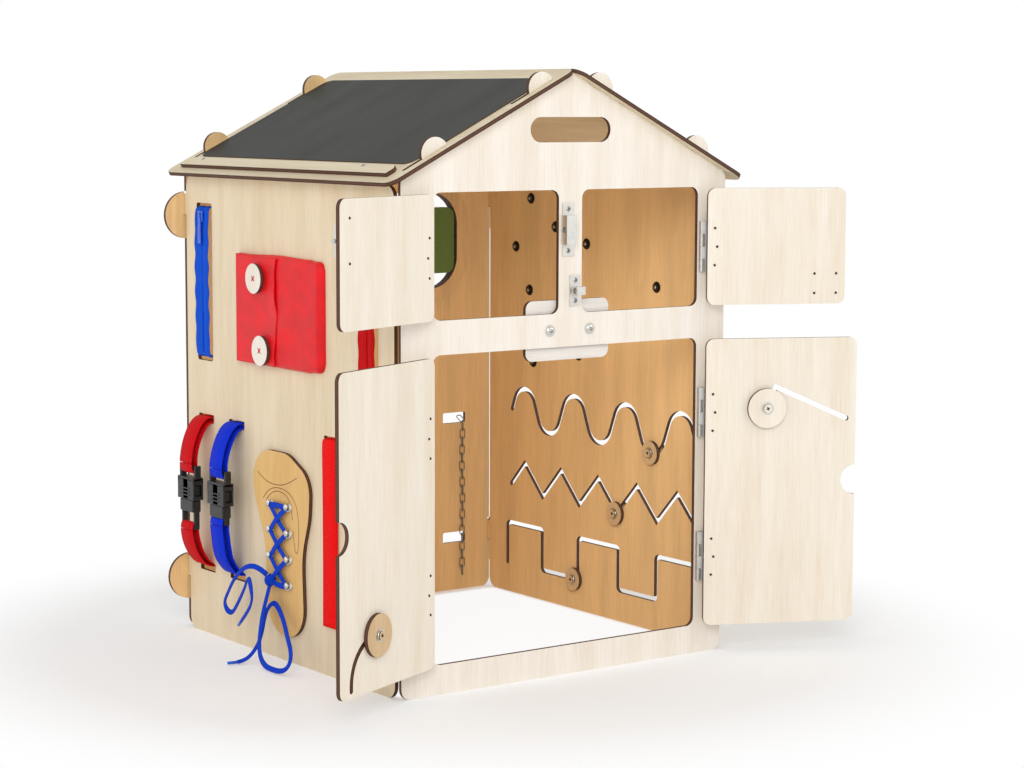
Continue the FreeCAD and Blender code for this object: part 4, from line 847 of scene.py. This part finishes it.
strap_width = 0.025
red_web = webbing("red_webbing_ribs", paint(228, 0, 18), paint(150, 0, 8), 0.0016)
blue_web = webbing("blue_webbing_ribs", paint(0, 52, 232), paint(0, 26, 150), 0.0016)
web_section = flat_ring(strap_width, 0.0013, 0.6)
buckle_x = -0.217
buckles = {
    "red": (0.3633, 0.181, 0.0305, red_web),
    "blue": (0.3, 0.183, 0.0195, blue_web),
}
for colour, (y, top, plug_length, web) in buckles.items():
    bar = top - 0.0035
    upper = smooth_line([
        (-0.1885, y, 0.2295), (-0.198, y, 0.2305), (-0.2055, y, 0.228), (-0.2125, y,
                                                                         0.2195), (-0.2185, y, 0.2055),
        (-0.2215, y, 0.192), (-0.2225, y, bar + 0.004), (-0.2205, y, bar - 0.004), (-0.217, y, bar - 0.0045),
        (-0.2155, y, bar), (-0.2155, y, 0.192), (-0.2115, y, 0.206), (-0.206, y, 0.2175), (-0.2, y, 0.2255),
        (-0.1885, y, 0.2265),
    ])
    strap = ribbon(colour + "_strap_top_web", upper, web_section, (0, 0, 1), web)
    dress(strap, "house", colour + "_webbing", colour + "_strap_upper")
    low = top - 0.036 - 0.0004 - plug_length
    lower = smooth_line([
        (-0.1885, y, 0.0735), (-0.198, y, 0.073), (-0.2055, y, 0.0755), (-0.2125, y,
                                                                         0.0835), (-0.2185, y, 0.0945),
        (-0.2215, y, low - 0.008), (-0.222, y, low + 0.001), (-0.2205, y,
                                                              low + 0.0065), (-0.217, y, low + 0.007),
        (-0.2145, y, low + 0.0035), (-0.2145, y, low - 0.006), (-0.211, y, 0.0945), (-0.2055, y, 0.0835),
        (-0.2, y, 0.0765), (-0.1885, y, 0.0705),
    ])
    strap = ribbon(colour + "_strap_low_web", lower, web_section, (0, 0, -1), web)
    colour + "_buckle_plug_body"
    low - 0.004
    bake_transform(strap)
    colour + "_webbing"
    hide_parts(colour + "_strap_lower")
    colour + "_buckle_plug"

velcro_red = webbing("hook_and_loop_red", paint(255, 0, 0), paint(214, 0, 0), 0.0022)
velcro_y = 0.1165
velcro_line = smooth_line([
    (-0.1885, velcro_y, 0.2328), (-0.1945, velcro_y, 0.2328), (-0.1988, velcro_y,
                                                               0.2318), (-0.1994, velcro_y, 0.226),
    (-0.199, velcro_y, 0.19), (-0.1988, velcro_y, 0.13), (-0.199, velcro_y,
                                                          0.08), (-0.1992, velcro_y, 0.0495),
])
velcro = ribbon("velcro_band", velcro_line, flat_ring(strap_width, 0.0022, 0.5), (-1, 0, 0.2), velcro_red)
dress(velcro, "house", "red_webbing", "velcro_strap")

# Buckles
# Side-release buckles moulded in black nylon: a socket with a webbing window at its top, and a
# plug whose three prongs slide up into it. Ribs on the edges give grip.


def rounded_block(form, low, high, edge=0.0008):
    """A box from corner to corner with its edges rounded."""
    made = bmesh.ops.create_cube(form, size=1)["verts"]
    low = Vector(low)
    high = Vector(high)
    for vertex in made:
        vertex.co = Vector(a + (b - a) * (c + 0.5) for a, b, c in zip(low, high, vertex.co))
    sides = list({side for vertex in made for side in vertex.link_edges})
    bmesh.ops.bevel(form, geom=sides, offset=edge, segments=2, profile=0.6, affect="EDGES")


def blocks(name, rows, finish, body):
    """One mesh of rounded blocks."""
    form = bmesh.new()
    for low, high, edge in rows:
        rounded_block(form, low, high, edge)
    bmesh.ops.recalc_face_normals(form, faces=form.faces)
    mesh = bpy.data.meshes.new(name)
    form.to_mesh(mesh)
    form.free()
    thing = show(name, mesh, finish)
    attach(thing, body)
    return thing


nylon = Finish("black_nylon", roughness=0.38)
nylon_place = nylon.coordinate("Object")
nylon_grain = nylon.noise(nylon_place, 2600, 2)
nylon_cloud = nylon.noise(nylon_place, 90, 2)
nylon.set("Base Color", nylon.mix(nylon_cloud, paint(14, 15, 17), paint(36, 37, 40)))
nylon.set("Roughness", nylon_grain * 0.22 + 0.28)
nylon.bump(nylon_grain, 0.0001, 0.35)
half_wide = 0.017
for colour, (y, top, plug_length, web) in buckles.items():
    low = top - 0.036
    near = y - half_wide
    far = y + half_wide
    front = buckle_x - 0.006
    back = buckle_x + 0.006
    rows = [
        ((front, near, low), (front + 0.0022, far, top - 0.014), 0.001),
        ((back - 0.0022, near, low), (back, far, top - 0.014), 0.001),
        ((front, near, top - 0.0165), (back, far, top - 0.0125), 0.001),
        ((front, y - 0.0055, low), (back, y + 0.0055, top - 0.014), 0.0008),
        ((buckle_x - 0.0035, near, top - 0.015), (buckle_x + 0.0035, near + 0.0036, top), 0.001),
        ((buckle_x - 0.0035, far - 0.0036, top - 0.015), (buckle_x + 0.0035, far, top), 0.001),
        ((buckle_x - 0.0026, near + 0.001, top - 0.0042), (buckle_x + 0.0016, far - 0.001, top - 0.0006),
         0.001),
        ((front - 0.0006, y - 0.009, low + 0.004), (front + 0.001, y + 0.009, low + 0.0054), 0.0004),
        ((front - 0.0006, y - 0.009, low + 0.0076), (front + 0.001, y + 0.009, low + 0.009), 0.0004),
        ((front - 0.0006, y - 0.009, low + 0.0112), (front + 0.001, y + 0.009, low + 0.0126), 0.0004),
    ]
    for side in (near, far - 0.0022):
        rows.append(((front, side, low), (back, side + 0.0022, low + 0.004), 0.0008))
        rows.append(((front, side, top - 0.02), (back, side + 0.0022, top - 0.013), 0.0008))
    socket = blocks(colour + "_socket_shell", rows, nylon, "house")
    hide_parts("buckle_sockets")
    base = low - 0.0004
    bottom = base - plug_length
    rows = [
        ((buckle_x - 0.0052, near + 0.0035, base - 0.0125), (buckle_x + 0.0048, far - 0.0035, base), 0.0012),
        ((buckle_x - 0.003, near + 0.003, bottom), (buckle_x + 0.003, near + 0.0062, base - 0.01), 0.0008),
        ((buckle_x - 0.003, far - 0.0062, bottom), (buckle_x + 0.003, far - 0.003, base - 0.01), 0.0008),
        ((buckle_x - 0.0022, near + 0.0035, bottom + 0.0006), (buckle_x + 0.0022, far - 0.0035,
                                                               bottom + 0.0046), 0.001),
        ((buckle_x - 0.0016, y - 0.0016, base - 0.001), (buckle_x + 0.0016, y + 0.0016, base + 0.018),
         0.0006),
    ]
    for side in (-1, 1):
        inner, outer = sorted((y + side * 0.0095, y + side * 0.0135))
        rows.append(((buckle_x - 0.0026, inner, base - 0.001), (buckle_x + 0.0026, outer, base + 0.0185),
                     0.001))
        inner, outer = sorted((y + side * 0.0105, y + side * 0.0146))
        rows.append(((buckle_x - 0.0034, inner, base + 0.005), (buckle_x + 0.0034, outer, base + 0.0155),
                     0.0012))
        for step in range(4):
            rise = base + 0.0062 + step * 0.0024
            edge_low, edge_high = sorted((y + side * 0.0138, y + side * 0.0152))
            rows.append(((buckle_x - 0.003, edge_low, rise), (buckle_x + 0.003, edge_high, rise + 0.0011),
                         0.0003))
    plug = blocks(colour + "_plug_shell", rows, nylon, colour + "_buckle_plug_body")
    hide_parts(colour + "_buckle_plug")

# Zips of the left wall
# Coil zips on woven tape. The tape comes out of the slot's top, runs down over the wall and goes
# in again at the bottom. A coil runs down its middle, and an enamelled slider and pull ride on it.

zip_colours = {
    "blue": (0.364, paint(0, 90, 228), paint(0, 58, 168)),
    "red": (0.049, paint(226, 0, 10), paint(160, 0, 4)),
}
tape_section = [(-0.0135, 0.0001), (-0.0118, -0.0005), (-0.0104, 0.0002), (-0.004, 0.0), (-0.0028, -0.0004),
                (0.0028, -0.0004), (0.004, 0.0), (0.0118, -0.0002), (0.0135, 0.0003),
                (0.0135, 0.0011), (0.0118, 0.0006), (0.004, 0.0009), (0.0028, 0.0006), (0.001, 0.0002),
                (-0.001, 0.0002), (-0.0028, 0.0006), (-0.004, 0.0009), (-0.0104, 0.0012), (-0.0118, 0.0004),
                (-0.0135, 0.0009)]
for colour, (y, bright, shade) in zip_colours.items():
    tape_web = webbing(colour + "_zip_weave", bright, shade, 0.0009)
    enamel = Finish(colour + "_enamel_coat", roughness=0.25)
    flow = enamel.noise(enamel.coordinate("Object"), 220, 2)
    enamel.set("Base Color", enamel.mix(flow, bright, shade))
    enamel.set("Roughness", flow * 0.15 + 0.18)
    enamel.set("Coat Weight", 0.6)
    line = smooth_line([
        (-0.1885, y, 0.4475), (-0.1945, y, 0.4478), (-0.1982, y, 0.4462), (-0.1993, y,
                                                                           0.4405), (-0.1998, y, 0.42),
        (-0.2, y, 0.385), (-0.1996, y, 0.34), (-0.1994, y, 0.31), (-0.1992, y, 0.3), (-0.1982, y, 0.2944),
        (-0.1945, y, 0.2928), (-0.1885, y, 0.293),
    ])
    tape = ribbon(colour + "_zip_band", line, tape_section, (-1, 0, 0.05), tape_web,
                  roll_at=lambda share: 0.05 * math.sin(share * 42) * math.sin(share * math.pi))
    dress(tape, "house", colour + "_webbing", colour + "_zip_tape")
    coil_web = webbing(colour + "_coil", bright, shade, 0.0006)
    coil_pattern = Pattern(colour + "_zip_coil", {"Tooth length": 0.0036, "Tooth width": 0.0009,
                                                  "Tooth rise": 0.0012})
    tooth = coil_pattern.add("GeometryNodeMeshUVSphere", {}, {"Segments": 8, "Rings": 5, "Radius": 0.5})
    tooth_size = coil_pattern.vector(coil_pattern.given("Tooth width"), coil_pattern.given("Tooth length"),
                                     coil_pattern.given("Tooth rise"))
    coil_pattern.close(coil_pattern.on_points(coil_pattern.moved(tooth, stretch=tooth_size), coil_web, True))
    rows = [((-0.2004, y, 0.2985 + step * 0.00125), (-1, 0, 0)) for step in range(116)]
    teeth = grown(colour + "_zip_teeth", spots(colour + "_tooth_places", rows), coil_pattern, "house")
    colour + "_enamel"
    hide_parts(colour + "_zip_tape")
    rows = [
        ((-0.2022, y - 0.0048, 0.4325), (-0.2006, y + 0.0048, 0.4438), 0.0007),
        ((-0.2034, y - 0.0012, 0.4345), (-0.2018, y + 0.0012, 0.4425), 0.0006),
        ((-0.2033, y - 0.0026, 0.4285), (-0.2021, y + 0.0026, 0.4372), 0.0005),
        ((-0.2034, y - 0.003, 0.4102), (-0.202, y + 0.003, 0.4305), 0.0006),
        ((-0.2035, y - 0.0016, 0.413), (-0.2019, y + 0.0016, 0.4275), 0.0004),
    ]
    slider = blocks(colour + "_zip_pull", rows, enamel, colour + "_zip_slider_body")
    colour + "_enamel"
    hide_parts(colour + "_zip_slider")

# Wallet
# Smooth red leather, folded from one piece: the pocket bulges at its front fold, and a thinner
# flap with a wavy free edge lies over its far half, held by two sewn wooden buttons.


def quilt(name, columns, rows, size, front, back, finish):
    """A closed soft piece: a front and a back grid joined round their border. Its UV map is in metres."""
    form = bmesh.new()
    uv_layer = form.loops.layers.uv.new("UVMap")
    layers = [[[form.verts.new(face(column / columns, row / rows)) for column in range(columns + 1)]
               for row in range(rows + 1)] for face in (front, back)]

    def quad(corners, places):
        face = form.faces.new(corners)
        face.smooth = True
        for corner, (column, row) in zip(face.loops, places):
            corner[uv_layer].uv = (column / columns * size[0], row / rows * size[1])

    for grid in layers:
        for row in range(rows):
            for column in range(columns):
                places = ((column, row), (column + 1, row), (column + 1, row + 1), (column, row + 1))
                quad([grid[at_row][at_column] for at_column, at_row in places], places)
    border = [(column, 0) for column in range(columns)] + [(columns, row) for row in range(rows)]
    border += [(column, rows) for column in range(columns, 0, -1)] + [(0, row) for row in range(rows, 0, -1)]
    for first, second in zip(border, border[1:] + border[:1]):
        places = (first, second, second, first)
        corners = [layers[level][row][column] for level, (column, row) in zip((0, 0, 1, 1), places)]
        quad(corners, places)
    bmesh.ops.recalc_face_normals(form, faces=form.faces)
    mesh = bpy.data.meshes.new(name)
    form.to_mesh(mesh)
    form.free()
    return show(name, mesh, finish)


leather = Finish("red_leather_grain", roughness=0.4)
leather_place = leather.coordinate("Object")
pores = leather.add("ShaderNodeTexVoronoi", {"feature": "DISTANCE_TO_EDGE"}, {"Vector": leather_place,
                                                                              "Scale": 950})
crease = leather.noise(leather_place, 60, 3)
leather.set("Base Color", leather.mix(crease.rise(0.3, 0.7) * 0.6 + pores * 0.5, paint(214, 0, 14),
                                      paint(246, 2, 26)))
leather.set("Specular IOR Level", 0.3)
leather.set("Roughness", crease * 0.2 + 0.3)
leather.bump(pores.rise(0, 0.25) + crease * 0.8, 0.00018, 0.5)
wallet_near = 0.1255
wallet_wide = 0.165
wallet_low = 0.2945
wallet_high = 0.111
wall_face = -0.1972


def rounding(distance, radius):
    """From 0 on a rounded edge to 1 a radius away from it."""
    reach = max(0.0, min(1.0, distance / radius))
    return math.sqrt(1 - (1 - reach) ** 2)


def wallet_place(across, rise):
    """A point of the pocket's outline: a small step down near the front, and rounded front corners."""
    from_front = across * wallet_wide
    corner = 0.009 * (1 - rounding(from_front, 0.009))
    step = 0.0012 * (1 - min(1, max(0, (from_front - 0.018) / 0.006)))
    wave = 0.0007 * math.sin(across * 9) * rise
    low = wallet_low + corner + step
    high = wallet_low + wallet_high - corner - step - wave - 0.0007
    return wallet_near + from_front, low + (high - low) * rise


def wallet_depth(across, rise):
    from_front = across * wallet_wide
    full = 0.0066 - 0.003 * min(1, max(0, (across - 0.45) / 0.25))
    dent = 0.0006 * math.sin(rise * 5 + across * 7) * math.sin(across * 11)
    ends = rounding(min(rise, 1 - rise) * wallet_high, 0.0035)
    sides = min(rounding(from_front, 0.0065), rounding((1 - across) * wallet_wide, 0.003))
    return 0.0004 + (full + dent * min(1, from_front / 0.02)) * (0.35 + 0.65 * ends) * sides


def wallet_front(across, rise):
    y, z = wallet_place(across, rise)
    return Vector((wall_face - wallet_depth(across, rise), y, z))


def wallet_back(across, rise):
    y, z = wallet_place(across, rise)
    return Vector((wall_face, y, z))


pocket = quilt("wallet_pocket_leather", 60, 36, (wallet_wide, wallet_high), wallet_front, wallet_back,
               leather)
dress(pocket, "house", "red_leather", "wallet_pocket")
flap_far = 0.2875


def flap_place(across, rise, lift):
    wave = 0.0022 * math.sin(rise * 9.4 + 0.6) + 0.0008 * math.sin(rise * 23)
    free = 0.2075 + wave
    y = free + (flap_far - free) * across
    z = 0.2955 + 0.108 * rise - 0.0008 * math.sin(across * 5) * rise
    under = -0.2023 - 0.0014 * (1 - min(1, across / 0.45)) ** 2
    curl = 0.0009 * math.exp(-across * 14) * (1 + math.sin(rise * 12)) * 0.5
    return Vector((under - curl - lift, y, z))


flap = quilt("wallet_flap_leather", 40, 40, (0.08, 0.108), lambda u, v: flap_place(u, v, 0.0012),
             lambda u, v: flap_place(u, v, 0.0), leather)
dress(flap, "house", "red_leather", "wallet_flap")
cover("wallet_buttons", plywood("button_birch", (-1, 0, 0), (0, 0, 1), (-0.2073, 0, 0), pale_birch,
                                grey_birch))
thread = webbing("red_thread", paint(196, 24, 30), paint(130, 8, 14), 0.0008)
stitch = Pattern("cross_stitch", {"Stitch length": 0.0085, "Stitch width": 0.0013})
stitch_shape = stitch.add("GeometryNodeMeshUVSphere", {}, {"Segments": 10, "Rings": 6, "Radius": 0.5})
stitch_size = stitch.vector(stitch.given("Stitch length"), stitch.given("Stitch width"),
                            stitch.given("Stitch width"))
stitch_shape = stitch.moved(stitch_shape, stretch=stitch_size)
first_turn = stitch.moved(stitch_shape, turn=(0, 0, math.pi / 4))
second_turn = stitch.moved(stitch_shape, turn=(0, 0, -math.pi / 4))
stitch.close(stitch.on_points(first_turn, thread, True), stitch.on_points(second_turn, thread, True))
stitch_rows = [((-0.2092, 0.2437, 0.3812), (-1, 0, 0)), ((-0.2092, 0.2324, 0.31), (-1, 0, 0))]
stitches = grown("button_stitches", spots("stitch_places", stitch_rows), stitch, "house")

# Shoe board
# A plywood shoe with burnt edges, fixed on the wall. Its toe, collar and tongue are drawn on it by
# the laser as thin brown lines.

cover("shoe_board", plywood("shoe_birch", (-1, 0, 0), (0, 0, 1), (-0.199, 0, 0), paint(230, 188, 118),
                            paint(208, 160, 92)))
burn = Finish("laser_burn", roughness=0.8)
burn_noise = burn.noise(burn.coordinate("Object"), 800, 3)
burn.set("Base Color", burn.mix(burn_noise, paint(92, 58, 32), paint(140, 98, 60)))
shoe_face = -0.20105
engraved = {
    "toe": [(0.2511, 0.1864), (0.2445, 0.1822), (0.2281, 0.1772), (0.2117, 0.1771), (0.1982, 0.1791),
            (0.1848, 0.1841), (0.1752, 0.1887)],
    "collar": [(0.2404, 0.1607), (0.2337, 0.168), (0.2199, 0.1741), (0.2036, 0.1748), (0.1903, 0.1723),
               (0.1797, 0.1654), (0.1735, 0.1552), (0.1716, 0.1361), (0.1729, 0.1165), (0.1762, 0.1127),
               (0.1804, 0.1168), (0.1828, 0.1345)],
    "tongue": [(0.2349, 0.1594), (0.2282, 0.1659), (0.2161, 0.1712), (0.2037, 0.1711), (0.193, 0.1678),
               (0.1862, 0.159), (0.1837, 0.1455)],
}
for label, corners in engraved.items():
    line = smooth_line([(shoe_face, y, z) for y, z in corners])
    mark = ribbon("shoe_line_" + label, line, flat_ring(0.0008, 0.0001, 0.3), (-1, 0, 0), burn)
    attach(mark, "house")

# Lacing hooks
# Nickel-plated lacing hooks in two columns, each a riveted plate with a ball that keeps the lace
# behind a small D-shaped loop.

hook = Pattern("lacing_hook", {"Plate radius": 0.0042, "Hook reach": 0.0058, "Wire radius": 0.0008})
plate_shape = hook.add("GeometryNodeMeshCylinder", {}, {"Vertices": 20,
                                                        "Radius": hook.given("Plate radius"), "Depth": 0.0008})
plate_shape = hook.moved(plate_shape, shift=(0, 0, 0.0004))
rivet = hook.add("GeometryNodeMeshUVSphere", {}, {"Segments": 14, "Rings": 8, "Radius": 0.0021})
rivet = hook.moved(rivet, shift=(-0.0012, 0, 0.0009), stretch=(1, 1, 0.6))
stem = hook.add("GeometryNodeMeshCylinder", {}, {"Vertices": 14, "Radius": 0.0014,
                                                 "Depth": hook.given("Hook reach")})
stem = hook.moved(stem, shift=hook.vector(0.0014, 0, hook.given("Hook reach") * 0.5))
cap = hook.add("GeometryNodeMeshUVSphere", {}, {"Segments": 16, "Rings": 8, "Radius": 0.0034})
cap = hook.moved(cap, shift=hook.vector(0.0014, 0, hook.given("Hook reach") - 0.0009), stretch=(1, 1, 0.45))
loop_path = hook.add("GeometryNodeCurvePrimitiveCircle", {}, {"Resolution": 20, "Radius": 0.0034})
loop_wire = hook.add("GeometryNodeCurvePrimitiveCircle", {}, {"Resolution": 8,
                                                              "Radius": hook.given("Wire radius")})
loop_shape = hook.add("GeometryNodeCurveToMesh", {}, {"Curve": loop_path, "Profile Curve": loop_wire})
loop_shape = hook.moved(loop_shape, shift=(-0.0006, 0, 0.0026), turn=(0.35, 0, 0), stretch=(0.8, 1, 1))
hook.close(*[hook.on_points(shape, nickel, True) for shape in (plate_shape, rivet, stem, cap, loop_shape)])
hook_heights = [0.157, 0.1307, 0.1044, 0.0781]
hook_rows = [((-0.201, y, z), (-1, 0, 0)) for y in (0.224, 0.189) for z in hook_heights]
hooks = grown("lacing_hooks_set", spots("hook_places", hook_rows), hook, "house")
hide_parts("lace_hooks")

# Lacing and knot
# The same flat lace, wound round the hooks in four crossed rows and drawn into a knot below.

lace_hook_far = 0.2222
lace_hook_near = 0.1908
lacing_x = -0.2041
lace_runs = [[(lacing_x, 0.224, 0.1562), (lacing_x - 0.0004, 0.2065, 0.1592), (lacing_x, 0.189, 0.1562)]]
for step, (top, low) in enumerate(zip(hook_heights, hook_heights[1:])):
    for start_y, end_y, lift in ((lace_hook_far, lace_hook_near, 0.0), (lace_hook_near, lace_hook_far,
                                                                        0.0016)):
        middle = (top + low) / 2
        lace_runs.append([
            (lacing_x - 0.0002, start_y, top), (lacing_x - 0.0005 - lift, (start_y * 2 + end_y) / 3,
                                                (top * 2 + low) / 3),
            (lacing_x - 0.001 - lift, (start_y + end_y) / 2, middle - 0.0004),
            (lacing_x - 0.0005 - lift, (start_y + end_y * 2) / 3,
             (top + low * 2) / 3), (lacing_x - 0.0002, end_y, low),
        ])
lace_runs.append([(lacing_x, lace_hook_near, 0.0781), (lacing_x - 0.002, 0.2, 0.0778),
                  (lacing_x - 0.003, 0.211, 0.0795),
                  (lacing_x - 0.002, 0.2165, 0.081)])
lace_runs.append([(lacing_x, lace_hook_far, 0.0781), (lacing_x - 0.0015, 0.2215, 0.0795),
                  (lacing_x - 0.002, 0.2175, 0.081)])
for index, run in enumerate(lace_runs):
    strand = ribbon("lacing_run_%d" % index, smooth_line(run), flat_ring(0.0056, 0.0011, 0.6), (-1, 0, 0),
                    blue_lace)
    dress(strand, "house", "blue_lace", "lacing")
knot = Vector((-0.2066, 0.217, 0.081))
knot_turns = [
    [(0.0012, 0.0048, 0.0035), (-0.0035, 0.0052, 0.001), (-0.0056, 0.001, -0.001), (-0.0035, -0.0045, -0.001),
     (0.0012, -0.0048, 0.0025), (0.0022, 0.0, 0.0044), (0.0012, 0.0048, 0.0035)],
    [(0.0008, 0.003, 0.0052), (-0.004, 0.0022, 0.0046), (-0.0062, 0.0004, 0.0), (-0.004, -0.0018, -0.0048),
     (0.0008, -0.003, -0.005), (0.0018, -0.001, 0.0), (0.0008, 0.003, 0.0052)],
    [(0.001, -0.0046, 0.0032), (-0.003, -0.0042, 0.004), (-0.0052, 0.0006, 0.0026),
     (-0.0036, 0.0052, -0.0024),
     (0.001, 0.0048, -0.0036), (0.0016, 0.0, -0.0022)],
]
for index, turns in enumerate(knot_turns):
    line = smooth_line([knot + Vector(place) for place in turns])
    strand = ribbon("knot_turn_%d" % index, line, flat_ring(0.0052, 0.0013, 0.6),
                    lambda place, along: place - knot, blue_lace)
    dress(strand, "house", "blue_lace", "lacing")

# Floor, light and world
# A pale floor that takes the object's shadow and runs out into white, one large soft lamp in front
# at the left, weaker ones at the sides, a small one behind the cross rail for the inside, and an
# even white sky. The floor glows a little for the camera, most of all inside the house.

floor_finish = Finish("pale_floor", roughness=0.9)
floor_place = floor_finish.parts(floor_finish.coordinate("Object"))
floor_reach = (floor_place[0] * floor_place[0] + (floor_place[1] - 0.2) * (floor_place[1] - 0.2)).root()
floor_finish.set("Base Color", paint(250, 250, 250))
glow = floor_finish.add("ShaderNodeEmission", {}, {"Color": (1, 1, 1), "Strength": 1.0})
floor_seen = floor_finish.add("ShaderNodeLightPath", {}, {}, "Is Camera Ray")
indoors = (1 - abs(floor_place[0]).rise(0.185, 0.195)) * (1 - abs(floor_place[1] - 0.2).rise(0.185, 0.2))
bright = (indoors * 0.65 + 0.25) * floor_seen
lit_floor = Term(floor_finish, floor_finish.shader.outputs[0])
out_shader = floor_finish.add("ShaderNodeMixShader", {}, {0: floor_reach.rise(0.3, 0.62).larger(bright),
                                                          1: lit_floor, 2: glow})
floor_finish.tree.links.new(out_shader.socket, floor_finish.tree.nodes["Material Output"].inputs["Surface"])
floor_form = bmesh.new()
bmesh.ops.create_circle(floor_form, cap_ends=True, segments=96, radius=6)
floor_mesh = bpy.data.meshes.new("floor")
floor_form.to_mesh(floor_mesh)
floor_form.free()
floor = show("floor", floor_mesh, floor_finish)
world = bpy.data.worlds.new("sky")
bpy.context.scene.world = world
world.use_nodes = True
sky = Nodes(world.node_tree)
background = world.node_tree.nodes["Background"]
seen = sky.add("ShaderNodeLightPath", {}, {}, "Is Camera Ray")
mirrored = sky.add("ShaderNodeLightPath", {}, {}, "Is Glossy Ray")
through = sky.add("ShaderNodeLightPath", {}, {}, "Is Transmission Ray")
sky_level = 0.62
sky.feed(background.inputs["Color"], (1, 1, 1))
sky.feed(background.inputs["Strength"], seen.larger(mirrored).larger(through) * (1 - sky_level) + sky_level)


def lamp(name, place, target, size, power):
    data = bpy.data.lights.new(name, "AREA")
    data.shape = "DISK"
    data.size = size
    data.energy = power
    thing = bpy.data.objects.new(name, data)
    thing.location = place
    thing.rotation_euler = (Vector(target) - Vector(place)).to_track_quat("-Z", "Y").to_euler()
    bpy.context.scene.collection.objects.link(thing)


lamp("key_lamp", (-1.95, -2.45, 1.7), (0, 0.1, 0.25), 1.7, 46)
lamp("fill_lamp", (2.4, -1.8, 1.5), (0, 0.1, 0.25), 2.0, 16)
lamp("left_lamp", (-2.6, 1.0, 1.4), (0, 0.2, 0.25), 1.8, 7)
lamp("indoor_lamp", (-0.06, 0.03, 0.338), (0.10, 0.36, 0.22), 0.05, 0.3)
bpy.context.scene.view_settings.view_transform = "Standard"
